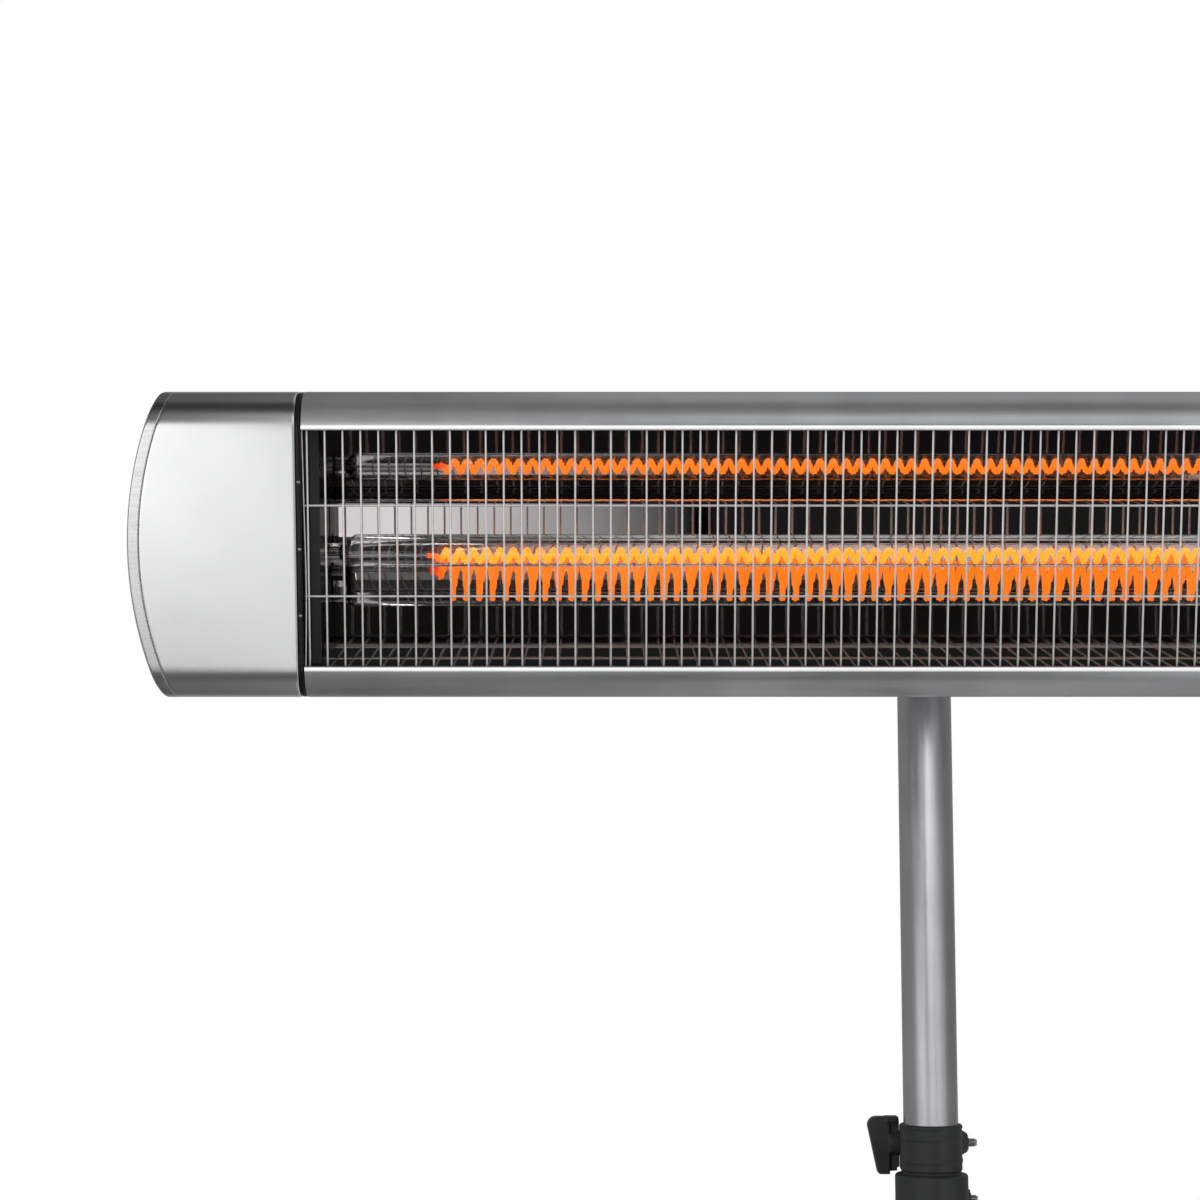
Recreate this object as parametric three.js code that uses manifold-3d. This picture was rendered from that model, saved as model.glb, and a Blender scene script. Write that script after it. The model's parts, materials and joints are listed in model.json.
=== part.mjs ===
// Infrared patio heater on a telescopic pole with a folding tripod base.
// Millimetres, +Z up. The heater faces -Y, and the origin is on the floor, under the middle of
// the box that the whole heater fills.
import * as THREE from "three";
import { mergeVertices } from "three/addons/utils/BufferGeometryUtils.js";
import Module from "manifold-3d";

const wasm = await Module();
wasm.setup();

// General fits
const gap = 0.3; // between pieces that touch
const slip = 0.4; // round a shaft in its hole
const overrun = 5; // how far a cutting shape runs past what it cuts
const weldTolerance = 1e-4;
const finePipeSides = 24;
const roundSides = 14;
const smallSides = 8;
const domeSteps = 3;

// Heater head: its section is in the plane of depth (backwards) and height
const headLength = 858;
const headHeight = 161.5;
const headDepth = 80;
const cornerRadius = 18; // of the front edges, which are the lips of the opening
const straightDepth = 25; // where the back curve starts
const sheetWall = 2;
const capLength = 88.4; // from the seam to the crest of the bowed end
const bowRadius = 204; // of the bowed ends
const endPlateThickness = 6;
const headTiltDegrees = 14; // how far the face looks down
const cornerSteps = 5;
const backSteps = 14;
const bowSides = 72;

// Black liner between the body and each end cap
const linerBand = 2.6; // what shows between body and cap
const linerPlug = 8.8; // how far the plug reaches into the body
const linerPlugDepth = 6.8; // how far the plug's face lies behind the front

// Guard grille
const wireDiameter = 1.2;
const wirePitch = 9.3;
const wirePlane = 4.1; // depth of the middle of the upright wires
const railDiameter = 1.4;
const railHeights = [22.4, -25.3]; // of the two lengthwise wires
const weldDepth = 0.3; // how far the rails sink into the uprights
const wireSides = 4;

// Reflector: a trough with a tight bend above the tube, a long sweep below it, a flat bottom
// between them, straight sides and a flat rim
const upperBend = { radius: 0.0877, height: 0.2948, steps: 3 };
const lowerBend = { radius: 0.7697, height: -0.0542, steps: 12 };
// A bend's sizes are shares of half the height of the trough's mouth, and the height of its centre
// counts from the middle towards the bend's own side.
const troughFromBack = 28; // from its flat bottom to the back of the head
const rimDepth = 5.3;
const reflectorSheet = 1;

// Quartz tube and heating coil
const quartzDiameter = 15.2;
const quartzWall = 0.9;
const quartzOffTrough = 13.5; // from its axis to the flat bottom of the trough
const quartzHeight = -5.9;
const quartzGrip = 7; // how far its end sits in the ceramic holder
const coilDiameter = 9.3;
const strandDiameter = 3.3;
const coilPitch = 7.21;
const coilTurns = 74;
const coilTail = 5; // length of the half turn that runs in to the axis at each end
const coilRest = 0.3; // between the coil and the bottom of the tube
const curlSteps = 8;
const strandSides = 5;
const pinDiameter = 2; // cold pins from the coil to the outside
const pinProud = 6;
const holderDiameter = 26;
const holderLength = 15.4;

// Wiring in the head
const leadDiameter = 3.6;
const leadSides = 6;
const leadSteps = 10;
const longLeadSteps = 32;
const blockWidth = 18;
const blockDepth = 24;
const blockHeight = 24;
const blockFromEdge = 30.75; // from its middle to the lower edge of the head
const wiringDepth = 38; // of the middle of the block and of the cut-out
const blockPortSpacing = 12;
const cutoutDiameter = 16;
const cutoutThickness = 9;
const cutoutFromEdge = 36.75; // from its middle to the upper edge of the head
const cutoutFlange = { width: 22, height: 10, thickness: 1.2 };
const leadFromBack = 11; // where the long lead runs behind the trough
const leadHeight = 20;
const leadBend = 12;
const leadHoleDiameter = 7; // grommet hole in the liners

// Rocker switch and cord inlet in the back of the left cap
const switchFromEnd = 44;
const switchBody = { width: 13, height: 22, depth: 20 };
const switchBezel = { width: 17, height: 26, thickness: 2 };
const rockerWidth = 9.4;
const rockerHeight = 16;
const rockerSection = { root: 2, rootHalf: 2.7, hip: 1, crest: 6.5, dip: 5 }; // from its pivot
const rockerPocket = { width: 10.2, height: 18.4, depth: 8 };
const rockerPivotSink = 2; // how far its pivot lies under the back of the cap
const rockerRestDegrees = 9;
const glandFromEnd = 22;
const glandThread = 12;
const glandFlange = 19;
const glandFlangeThickness = 5.5;
const glandDome = 15;
const glandDomeLength = 11;
const glandNutThickness = 4;
const glandBore = 6.8;

// Bracket behind the head and the tilt joint
const bracketWidth = 72;
const bracketHeight = 32;
const bracketBase = 6; // thickness of its base behind the middle of the head
const pivotBehindBase = 27.4;
const earInside = 40; // between the two ears
const earThickness = 3.5;
const earRadius = 13;
const screwSpacing = 60;
const screwDiameter = 5;
const screwHead = { diameter: 9.5, height: 3 };
const screwNut = { diameter: 9, height: 3 };
const tiltBoltDiameter = 8;
const tiltHeadAcross = 15;
const tiltHeadHeight = 5.3;
const washer = { diameter: 18, thickness: 1.6 };
const knobRadius = 17;
const knobLobe = 2.5;
const knobLobes = 6;
const knobThickness = 12;
const knobHub = { diameter: 19, height: 4 };
const knobBoreDepth = 13;
const knobSteps = 30;

// Pole head
const barrelRadius = 12;
const neckRadius = 12.5;
const poleTopBelowPivot = 26;
const shoulderHeight = 6;
const headPlugLength = 60;
const headScrewBelowTop = 19;

// Pole
const upperDiameter = 30;
const outerDiameter = 35;
const tubeWall = 1.5;
const collarTopHeight = 1000; // of the clamp collar above the floor
const shownPole = 331.9; // from the collar's top to the tilt axis
const insertedPole = 600; // length of upper tube below the collar's top
const slidePlugLength = 30;
const slideFlange = 8;

// Clamp collar, its two bolts and the wing knob. Heights are below the collar's top.
const collarNeckDiameter = 34;
const collarNeckHeight = 25.5;
const collarBodyDiameter = 40;
const collarHeight = 65;
const collarFloor = 2.5; // inner step over the end of the outer tube
const collarSlit = 2.4;
const clampDrop = 12.5;
const fixDrop = 43.5;
const collarBoltBehind = 22; // how far behind the pole's axis the bolts run
const collarBoltDiameter = 4.8;
const collarBoltEnd = 26;
const lugHeight = 14;
const lugBack = 30;
const lugLeft = 14;
const clampLugRight = 17;
const fixLugRight = 18;
const hexBoss = { across: 12, length: 5 };
const collarNut = { across: 8, height: 3.6 };
const collarNutSeat = 1.3; // plastic left under the nut
const fixHead = { across: 8, height: 3.8 };
const wingThickness = 9;
const wingHub = { diameter: 13, length: 6.5 };
const wingOuter = 35.3; // how far the wing reaches from the pole's axis
const wingInner = 20.6;
const wingArmEnd = 15.6;
const wingTop = 14.6;
const wingArmDrop = 2.6;
const wingBottom = 17.2;
const wingFoot = 28.6; // where its slanted edge ends at the bottom
const wingShoulder = 6; // size of its rounded upper corner
const wingCornerSteps = 5;

// Base
const hubHeight = 124.9; // of the brace pivots on the lower hub
const outerTubeFoot = 95;
const hubDiameter = 48;
const hubAbove = 22;
const hubBelow = 25;
const legOpenDegrees = 44.7; // from the pole
const legLength = 560;
const legDiameter = 22;
const legWall = 1.5;
const legSolidTop = 30; // length of the closed end at the pivot
const pivotRadius = 36; // of the leg and brace pivots round the pole
const braceLength = 200;
const braceWidth = 14;
const braceThickness = 2.5;
const braceClearance = 0.6;
const lugReach = 8;
const hubLugHeight = 18;
const yokeHeight = 50;
const yokeEarThickness = 3.6;
const yokeEarHeight = 24;
const yokeEarReach = 10;
const pinRadius = 3;
const pinHead = { radius: 5, height: 2 };
const bossDiameter = 16;
const bossReach = 30; // of the lock screw boss, from the pole's axis
const lockStudDiameter = 6;
const footDiameter = 30;
const footLength = 46;
const footToe = 10; // rubber beyond the end of the leg
const endPlugInside = 25;
const endPlugFlange = 6;
const hubScrew = { diameter: 5, head: 9, headHeight: 3, length: 8 };

// Worked out from the sizes above
const radians = Math.PI / 180;
const halfHeight = headHeight / 2;
const lipEdge = halfHeight - cornerRadius; // where the opening starts
const seamX = headLength / 2 - capLength;
const linerOuter = seamX - gap;
const linerInner = linerOuter - linerBand;
const plugInner = linerInner - linerPlug;
const shellHalf = linerInner - gap;
const bowCentre = headLength / 2 - bowRadius;
const plateInnerRadius = bowRadius - endPlateThickness;
const troughBottom = headDepth - troughFromBack;
const troughMouth = lipEdge; // half the height of its mouth
const quartzDepth = troughBottom - quartzOffTrough;
const blockMiddle = { depth: wiringDepth, height: blockFromEdge - halfHeight };
const cutoutMiddle = { depth: wiringDepth, height: halfHeight - cutoutFromEdge };
const behindTrough = { depth: headDepth - leadFromBack, height: leadHeight };
const switchX = switchFromEnd - headLength / 2;
const glandX = glandFromEnd - headLength / 2;
const bracketBack = headDepth + bracketBase;
const pivotDepth = bracketBack + pivotBehindBase;
const quartzRadius = quartzDiameter / 2;
const quartzBore = quartzRadius - quartzWall;
const coilHeight = quartzHeight - (quartzBore - coilDiameter / 2 - coilRest);
const coilHalf = (coilTurns * coilPitch) / 2;
const coilEnd = coilHalf + coilTail + strandDiameter;
const holderOuter = seamX + holderLength;
const pinEnd = holderOuter + pinProud;
const pivotHeight = collarTopHeight + shownPole;
const poleTop = pivotHeight - poleTopBelowPivot;
const poleFoot = collarTopHeight - insertedPole;
const upperRadius = upperDiameter / 2;
const upperBore = upperRadius - tubeWall;
const outerRadius = outerDiameter / 2;
const outerBore = outerRadius - tubeWall;
const outerTubeTop = collarTopHeight - collarNeckHeight - collarFloor - gap;
const legOpen = legOpenDegrees * radians;
const yokeLevel = hubHeight + 2 * braceLength * Math.cos(legOpen);
const legRadius = legDiameter / 2;
const armAngles = [-90, 30, 150]; // of the three legs round the pole

// Materials
const finish = (color, roughness, metalness, more = {}) =>
  new THREE.MeshStandardMaterial({ color, roughness, metalness, ...more });
const satinAluminium = finish(0xc4c6c8, 0.35, 0.9);
const paleCover = finish(0xe2e3e5, 0.4, 0.6);
const poleAluminium = finish(0xa9a9ad, 0.38, 0.95);
const polishedMirror = finish(0xd8d8d8, 0.06, 1);
const brightWire = finish(0xcfcfcf, 0.22, 1);
const blackPlastic = finish(0x1c1e1f, 0.55, 0);
const blackSteel = finish(0x18191a, 0.42, 0.3);
const plainSteel = finish(0x9a9a9c, 0.35, 1);
const blackRubber = finish(0x131313, 0.85, 0);
const clearQuartz = finish(0xeef4f6, 0.05, 0, { transparent: true, opacity: 0.25 });
const glowingWire = finish(0xff8a1e, 0.6, 0.2, { emissive: 0xff7a10 });
const whiteCeramic = finish(0xe9e4d8, 0.7, 0);
const leadSleeve = finish(0xd8d2c4, 0.8, 0);

// Solids: every shape below is a closed BufferGeometry
function solid(geometry) {
  const bare = geometry.index ? geometry.toNonIndexed() : geometry.clone();
  bare.deleteAttribute("normal");
  bare.deleteAttribute("uv");
  const merged = mergeVertices(bare, weldTolerance);
  const vertProperties = merged.attributes.position.array;
  const triVerts = new Uint32Array(merged.index.array);
  return new wasm.Manifold(new wasm.Mesh({ numProp: 3, vertProperties, triVerts }));
}

function surface(made) {
  const mesh = made.getMesh();
  return new THREE.BufferGeometry()
    .setAttribute("position", new THREE.BufferAttribute(mesh.vertProperties, 3))
    .setIndex(new THREE.BufferAttribute(mesh.triVerts, 1));
}

const join = (first, ...rest) => surface(rest.reduce((sum, g) => sum.add(solid(g)), solid(first)));
const cut = (body, ...tools) => surface(tools.reduce((left, g) => left.subtract(solid(g)), solid(body)));
const common = (a, b) => surface(solid(a).intersect(solid(b)));

// A rod along an axis, whose middle crosses the other two axes at a and b.
function rod(axis, radius, from, to, a = 0, b = 0, sides = roundSides, endRadius = radius) {
  const made = new THREE.CylinderGeometry(endRadius, radius, to - from, sides);
  made.translate(0, (from + to) / 2, 0);
  if (axis === "x") return made.rotateZ(-Math.PI / 2).translate(0, a, b);
  if (axis === "z") return made.rotateX(Math.PI / 2).translate(a, b, 0);
  return made.translate(a, 0, b);
}

function pipe(axis, radius, bore, from, to, a = 0, b = 0, sides = roundSides) {
  const hole = rod(axis, bore, from - overrun, to + overrun, a, b, sides);
  return cut(rod(axis, radius, from, to, a, b, sides), hole);
}

// A hexagonal bar along an axis, given across its flats.
const hexBar = (axis, across, from, to, a = 0, b = 0) =>
  rod(axis, across / Math.sqrt(3), from, to, a, b, 6);

function block(x0, x1, y0, y1, z0, z1) {
  return new THREE.BoxGeometry(x1 - x0, y1 - y0, z1 - z0).translate(
    (x0 + x1) / 2,
    (y0 + y1) / 2,
    (z0 + z1) / 2,
  );
}

function arcPoints(a, b, radiusA, radiusB, from, to, steps) {
  return Array.from({ length: steps + 1 }, (_, i) => {
    const turn = from + ((to - from) * i) / steps;
    return new THREE.Vector2(a + radiusA * Math.cos(turn), b + radiusB * Math.sin(turn));
  });
}

const xAxis = new THREE.Vector3(1, 0, 0);
const yAxis = new THREE.Vector3(0, 1, 0);
const zAxis = new THREE.Vector3(0, 0, 1);

// An outline of depths and heights, drawn out along X.
function alongX(outline, from, to) {
  const options = { depth: to - from, bevelEnabled: false };
  return new THREE.ExtrudeGeometry(new THREE.Shape(outline), options)
    .applyMatrix4(new THREE.Matrix4().makeBasis(yAxis, zAxis, xAxis))
    .translate(from, 0, 0);
}

// An outline of X and Z, drawn out along Y.
function alongY(outline, from, to) {
  const options = { depth: to - from, bevelEnabled: false };
  return new THREE.ExtrudeGeometry(new THREE.Shape(outline), options)
    .applyMatrix4(new THREE.Matrix4().makeBasis(xAxis, zAxis, yAxis.clone().negate()))
    .translate(0, to, 0);
}

function lead(points, steps) {
  const radius = leadDiameter / 2;
  const section = new THREE.Shape(arcPoints(0, 0, radius, radius, 0, 2 * Math.PI, leadSides));
  const extrudePath = new THREE.CatmullRomCurve3(points.map((p) => new THREE.Vector3(...p)));
  return new THREE.ExtrudeGeometry(section, { steps, extrudePath, bevelEnabled: false });
}

function addPiece(group, name, geometry, material) {
  geometry.computeVertexNormals();
  const mesh = new THREE.Mesh(geometry, material);
  mesh.name = name;
  group.add(mesh);
  return mesh;
}

// From a to b away from the middle, on the left (-1) or the right (+1).
const reach = (side, a, b) => (side > 0 ? [a, b] : [-b, -a]);
const sides = { left: -1, right: 1 };

// Head section, from the upper lip round the back to the lower lip, set in by a distance.
function sectionCurve(inset) {
  const corner = cornerRadius - inset;
  const quarter = Math.PI / 2;
  return [
    ...arcPoints(cornerRadius, lipEdge, corner, corner, Math.PI, quarter, cornerSteps),
    ...arcPoints(
      straightDepth,
      0,
      headDepth - straightDepth - inset,
      halfHeight - inset,
      quarter,
      -quarter,
      backSteps,
    ),
    ...arcPoints(cornerRadius, -lipEdge, corner, corner, -quarter, -Math.PI, cornerSteps),
  ];
}

// Depth of the curved back at a height, for a skin set in by a distance; its facets lie inside it.
function backDepth(height, inset) {
  const across = headDepth - straightDepth - inset;
  const facetSag = across * (1 - Math.cos(Math.PI / backSteps / 2));
  return straightDepth + across * Math.sqrt(1 - (height / (halfHeight - inset)) ** 2) - facetSag;
}

// How far from the middle a flat strip may reach behind the lips, when its front lies at a depth.
function reachBehindLip(depth) {
  const inner = cornerRadius - sheetWall;
  return lipEdge + Math.sqrt(inner ** 2 - (cornerRadius - depth + gap) ** 2);
}

function makeShell() {
  const outline = [...sectionCurve(0), ...sectionCurve(sheetWall).reverse()];
  const holeRadius = (screwDiameter + slip) / 2;
  const screwHoles = [-screwSpacing / 2, screwSpacing / 2].map((x) =>
    rod("y", holeRadius, straightDepth, headDepth + overrun, x, 0, smallSides),
  );
  return cut(alongX(outline, -shellHalf, shellHalf), ...screwHoles);
}

function makeLiner(side) {
  const plugOutline = sectionCurve(sheetWall + slip);
  const plug = common(
    alongX(plugOutline, ...reach(side, plugInner, linerInner + gap)),
    block(-headLength, headLength, linerPlugDepth, headDepth, -headHeight, headHeight),
  );
  const band = alongX(sectionCurve(0), ...reach(side, linerInner, linerOuter));
  const through = reach(side, plugInner - overrun, linerOuter + overrun);
  return cut(
    join(band, plug),
    rod("x", quartzRadius + slip, ...through, quartzDepth, quartzHeight),
    rod("x", leadHoleDiameter / 2, ...through, behindTrough.depth, behindTrough.height, smallSides),
  );
}

function makeCap(side) {
  const span = reach(side, seamX, headLength / 2);
  const hollow = alongX(sectionCurve(sheetWall), span[0] - overrun, span[1] + overrun);
  const bow = rod("y", plateInnerRadius - gap, -overrun, headDepth + overrun, side * bowCentre, 0, bowSides);
  const sleeve = common(cut(alongX(sectionCurve(0), ...span), hollow), bow);
  if (side > 0) return sleeve;
  const { width, height } = switchBody;
  return cut(
    sleeve,
    block(
      switchX - width / 2 - gap,
      switchX + width / 2 + gap,
      straightDepth,
      headDepth + overrun,
      -height / 2 - gap,
      height / 2 + gap,
    ),
    rod("y", glandThread / 2 + gap, straightDepth, headDepth + overrun, glandX),
  );
}

function makeEndPlate(side) {
  const span = reach(side, seamX, headLength / 2 + overrun);
  const back = headDepth + overrun;
  const bow = pipe("y", bowRadius, plateInnerRadius, -overrun, back, side * bowCentre, 0, bowSides);
  return common(alongX(sectionCurve(0), ...span), bow);
}

// Half of one face of the reflector sheet, from its rim to the flat bottom. Its straight side runs
// from the mouth and just touches the bend. The other face lies a sheet's thickness further out.
function troughSide(bend, offset) {
  const bendRadius = bend.radius * troughMouth;
  const bendHeight = bend.height * troughMouth;
  const centre = troughBottom - bendRadius;
  const ahead = centre - rimDepth;
  const aside = troughMouth - bendHeight;
  const slope = Math.atan2(ahead, aside) + Math.asin(bendRadius / Math.hypot(aside, ahead));
  const radius = bendRadius + offset;
  const depth = rimDepth + offset;
  const joinDepth = centre + radius * Math.cos(slope);
  const joinHeight = bendHeight + radius * Math.sin(slope);
  const rimHeight = joinHeight + (joinDepth - depth) / Math.tan(slope);
  return [
    new THREE.Vector2(depth, reachBehindLip(rimDepth)),
    new THREE.Vector2(depth, rimHeight),
    ...arcPoints(centre, bendHeight, radius, radius, slope, 0, bend.steps),
  ];
}

function troughFace(offset) {
  const below = troughSide(lowerBend, offset).map(({ x, y }) => new THREE.Vector2(x, -y));
  return [...troughSide(upperBend, offset), ...below.reverse()];
}

function makeReflector() {
  const outline = [...troughFace(0), ...troughFace(reflectorSheet).reverse()];
  return alongX(outline, -plugInner + gap, plugInner - gap);
}

function makeGrille() {
  const radius = wireDiameter / 2;
  const end = reachBehindLip(wirePlane - radius);
  const half = Math.floor((shellHalf - radius) / wirePitch);
  const railDepth = wirePlane + radius + railDiameter / 2 - weldDepth;
  const rails = railHeights.map((height) =>
    rod("x", railDiameter / 2, -shellHalf + gap, shellHalf - gap, railDepth, height, wireSides),
  );
  const uprights = [];
  for (let i = -half; i <= half; i++)
    uprights.push(rod("z", radius, -end, end, i * wirePitch, wirePlane, wireSides));
  return join(...rails, ...uprights);
}

// Middle line of the coil, each point with its way out from the axis: full turns, and at each end
// a half turn that runs in to the axis and a straight end.
function coilLine() {
  const stations = [];
  const radius = (coilDiameter - strandDiameter) / 2;
  const tailTurns = 1 / 2;
  const steps = (coilTurns + 2 * tailTurns) * curlSteps;
  for (let i = 0; i <= steps; i++) {
    const turn = i / curlSteps - tailTurns;
    const past = Math.max(-turn, turn - coilTurns, 0) / tailTurns;
    const along = THREE.MathUtils.clamp(turn, 0, coilTurns) * coilPitch - coilHalf;
    const x = along + Math.sign(turn - coilTurns / 2) * past * coilTail;
    const r = (radius * (1 + Math.cos(past * Math.PI))) / 2;
    const angle = turn * 2 * Math.PI;
    const outward = new THREE.Vector3(0, Math.cos(angle), Math.sin(angle));
    const point = new THREE.Vector3(x, quartzDepth, coilHeight).addScaledVector(outward, r);
    stations.push({ point, outward });
  }
  const straightEnd = ({ outward }, x) => ({
    point: new THREE.Vector3(x, quartzDepth, coilHeight),
    outward,
  });
  return [straightEnd(stations[0], -coilEnd), ...stations, straightEnd(stations.at(-1), coilEnd)];
}

// A closed tube of a few flat sides along a line of stations.
function tubeAlong(line, radius, tubeSides) {
  const positions = [];
  const index = [];
  line.forEach(({ point, outward }, i) => {
    const ahead = line[Math.min(i + 1, line.length - 1)].point;
    const behind = line[Math.max(i - 1, 0)].point;
    const tangent = ahead.clone().sub(behind).normalize();
    const up = outward.clone().addScaledVector(tangent, -outward.dot(tangent)).normalize();
    const across = tangent.clone().cross(up);
    for (let k = 0; k < tubeSides; k++) {
      const turn = (k / tubeSides) * 2 * Math.PI;
      const corner = point
        .clone()
        .addScaledVector(up, radius * Math.cos(turn))
        .addScaledVector(across, radius * Math.sin(turn));
      positions.push(...corner.toArray());
    }
  });
  for (let i = 0; i < line.length - 1; i++)
    for (let k = 0; k < tubeSides; k++) {
      const a = i * tubeSides + k;
      const b = i * tubeSides + ((k + 1) % tubeSides);
      index.push(a, b, a + tubeSides, b, b + tubeSides, a + tubeSides);
    }
  const last = (line.length - 1) * tubeSides;
  for (let k = 1; k < tubeSides - 1; k++) {
    index.push(0, k + 1, k);
    index.push(last, last + k, last + k + 1);
  }
  return new THREE.BufferGeometry()
    .setAttribute("position", new THREE.Float32BufferAttribute(positions, 3))
    .setIndex(index);
}

function makeCoil() {
  const line = coilLine();
  let least = Infinity;
  for (let i = 0; i < line.length; i++)
    for (let j = i + curlSteps / 2; j < Math.min(line.length, i + 3 * curlSteps); j++)
      least = Math.min(least, line[i].point.distanceTo(line[j].point));
  console.log("heating coil: least gap to itself " + (least - strandDiameter).toFixed(2) + " mm");
  return tubeAlong(line, strandDiameter / 2, strandSides);
}

function makeHolder(side) {
  const socket = reach(side, linerOuter, seamX + quartzGrip + gap);
  return cut(
    rod("x", holderDiameter / 2, ...reach(side, seamX, holderOuter), quartzDepth, quartzHeight),
    rod("x", quartzRadius + slip, ...socket, quartzDepth, quartzHeight),
    rod("x", pinDiameter / 2 + slip, ...reach(side, seamX, pinEnd), quartzDepth, coilHeight, smallSides),
  );
}

function makeGland() {
  const flangeFront = headDepth + gap;
  const domeFront = flangeFront + glandFlangeThickness;
  const nutBack = backDepth(glandFlange / Math.sqrt(3), sheetWall) - gap;
  const nutFront = nutBack - glandNutThickness;
  return cut(
    join(
      rod("y", glandThread / 2, nutFront - glandNutThickness, domeFront, glandX),
      hexBar("y", glandFlange, flangeFront, domeFront, glandX),
      rod("y", glandDome / 2, domeFront, domeFront + glandDomeLength, glandX, 0, roundSides, glandThread / 2),
      hexBar("y", glandFlange, nutFront, nutBack, glandX),
    ),
    rod("y", glandBore / 2, straightDepth, headDepth * 2, glandX, 0, smallSides),
  );
}

function makeSwitchHousing() {
  const { width, height, depth } = switchBody;
  const face = headDepth + gap;
  const pocketFloor = face + switchBezel.thickness - rockerPocket.depth;
  const bezelHalf = switchBezel.width / 2;
  return cut(
    join(
      block(switchX - width / 2, switchX + width / 2, face - depth, face, -height / 2, height / 2),
      block(
        switchX - bezelHalf,
        switchX + bezelHalf,
        face,
        face + switchBezel.thickness,
        -switchBezel.height / 2,
        switchBezel.height / 2,
      ),
    ),
    block(
      switchX - rockerPocket.width / 2,
      switchX + rockerPocket.width / 2,
      pocketFloor,
      face + overrun,
      -rockerPocket.height / 2,
      rockerPocket.height / 2,
    ),
  );
}

function makeRocker() {
  const half = rockerHeight / 2;
  const { root, rootHalf, hip, crest, dip } = rockerSection;
  const outline = [
    [-root, -rootHalf],
    [-root, rootHalf],
    [hip, half],
    [crest, half],
    [dip, 0],
    [crest, -half],
    [hip, -half],
  ].map((point) => new THREE.Vector2(...point));
  const from = switchX - rockerWidth / 2;
  return alongX(outline, from, from + rockerWidth)
    .rotateX(rockerRestDegrees * radians)
    .translate(0, headDepth - rockerPivotSink, 0);
}

function makeBracket() {
  const earOuter = earInside / 2 + earThickness;
  const quarter = Math.PI / 2;
  const earRoot = bracketBack - sheetWall;
  const ear = [
    new THREE.Vector2(earRoot, -bracketHeight / 2),
    new THREE.Vector2(bracketBack, -bracketHeight / 2),
    ...arcPoints(pivotDepth, 0, earRadius, earRadius, -quarter, quarter, roundSides / 2),
    new THREE.Vector2(bracketBack, bracketHeight / 2),
    new THREE.Vector2(earRoot, bracketHeight / 2),
  ];
  const base = block(
    -bracketWidth / 2,
    bracketWidth / 2,
    headDepth / 2,
    bracketBack,
    -bracketHeight / 2,
    bracketHeight / 2,
  );
  const holes = [-1, 1].map((side) =>
    rod("y", (screwDiameter + slip) / 2, headDepth / 2, pivotDepth, (side * screwSpacing) / 2, 0, smallSides),
  );
  return cut(
    join(base, alongX(ear, earInside / 2, earOuter), alongX(ear, -earOuter, -earInside / 2)),
    alongX(sectionCurve(-gap), -headLength, headLength),
    rod("x", (tiltBoltDiameter + 2 * slip) / 2, -headLength, headLength, pivotDepth),
    ...holes,
  );
}

function makeBracketScrew(side) {
  const x = (side * screwSpacing) / 2;
  const { diameter, height } = screwHead;
  const headFace = bracketBack + gap;
  const nutBack = backDepth(screwNut.diameter / Math.sqrt(3), sheetWall) - gap;
  const nutFront = nutBack - screwNut.height;
  return join(
    rod("y", screwDiameter / 2, nutFront, headFace + height / 2, x, 0, smallSides),
    rod("y", diameter / 2, headFace, headFace + height, x, 0, roundSides, diameter / 3),
    hexBar("y", screwNut.diameter, nutFront, nutBack, x),
  );
}

// A lobed knob that turns about X; its hub's flat end lies at x = 0.
function lobedKnob(boreDiameter) {
  const rim = Array.from({ length: knobSteps }, (_, i) => {
    const turn = (i / knobSteps) * 2 * Math.PI;
    const radius = knobRadius + knobLobe * Math.cos(knobLobes * turn);
    return new THREE.Vector2(radius * Math.cos(turn), radius * Math.sin(turn));
  });
  const body = join(
    rod("x", knobHub.diameter / 2, 0, knobHub.height + gap),
    alongX(rim, knobHub.height, knobHub.height + knobThickness),
  );
  return cut(body, rod("x", boreDiameter / 2, -overrun, knobBoreDepth, 0, 0, smallSides));
}

function makeTiltBolt() {
  const headInner = earInside / 2 + earThickness + gap;
  const tip = headInner + washer.thickness + gap + knobBoreDepth - gap;
  return join(
    hexBar("x", tiltHeadAcross, -headInner - tiltHeadHeight, -headInner, pivotDepth),
    rod("x", tiltBoltDiameter / 2, -headInner - tiltHeadHeight / 2, tip, pivotDepth),
  );
}

function makePoleHead() {
  const shoulder = poleTop + gap;
  const screwLevel = poleTop - headScrewBelowTop;
  return cut(
    join(
      rod("x", barrelRadius, -earInside / 2 + gap, earInside / 2 - gap, 0, pivotHeight),
      rod("z", neckRadius, shoulder, pivotHeight),
      rod("z", upperRadius, shoulder, shoulder + shoulderHeight, 0, 0, finePipeSides),
      rod("z", upperBore - slip, poleTop - headPlugLength, shoulder + gap, 0, 0, finePipeSides),
    ),
    rod("x", tiltBoltDiameter / 2 + slip, -earInside, earInside, 0, pivotHeight),
    rod("y", (screwDiameter + slip) / 2, 0, upperRadius, 0, screwLevel, smallSides),
  );
}

function makeUpperTube() {
  return cut(
    pipe("z", upperRadius, upperBore, poleFoot, poleTop, 0, 0, finePipeSides),
    rod("y", (screwDiameter + slip) / 2, 0, outerRadius, 0, poleTop - headScrewBelowTop, smallSides),
  );
}

// A round-headed screw along Y: its head's underside at a distance behind the axis.
function radialScrew(diameter, head, headHeight, length, seat, level) {
  return join(
    rod("y", diameter / 2, seat - length, seat + headHeight / 2, 0, level, smallSides),
    rod("y", head / 2, seat, seat + headHeight, 0, level, roundSides, head / 3),
  );
}

function makeSlidePlug() {
  return join(
    rod("z", upperBore - slip, poleFoot - slideFlange, poleFoot + slidePlugLength, 0, 0, finePipeSides),
    rod("z", outerBore - gap, poleFoot - slideFlange, poleFoot - gap, 0, 0, finePipeSides),
  );
}

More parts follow.
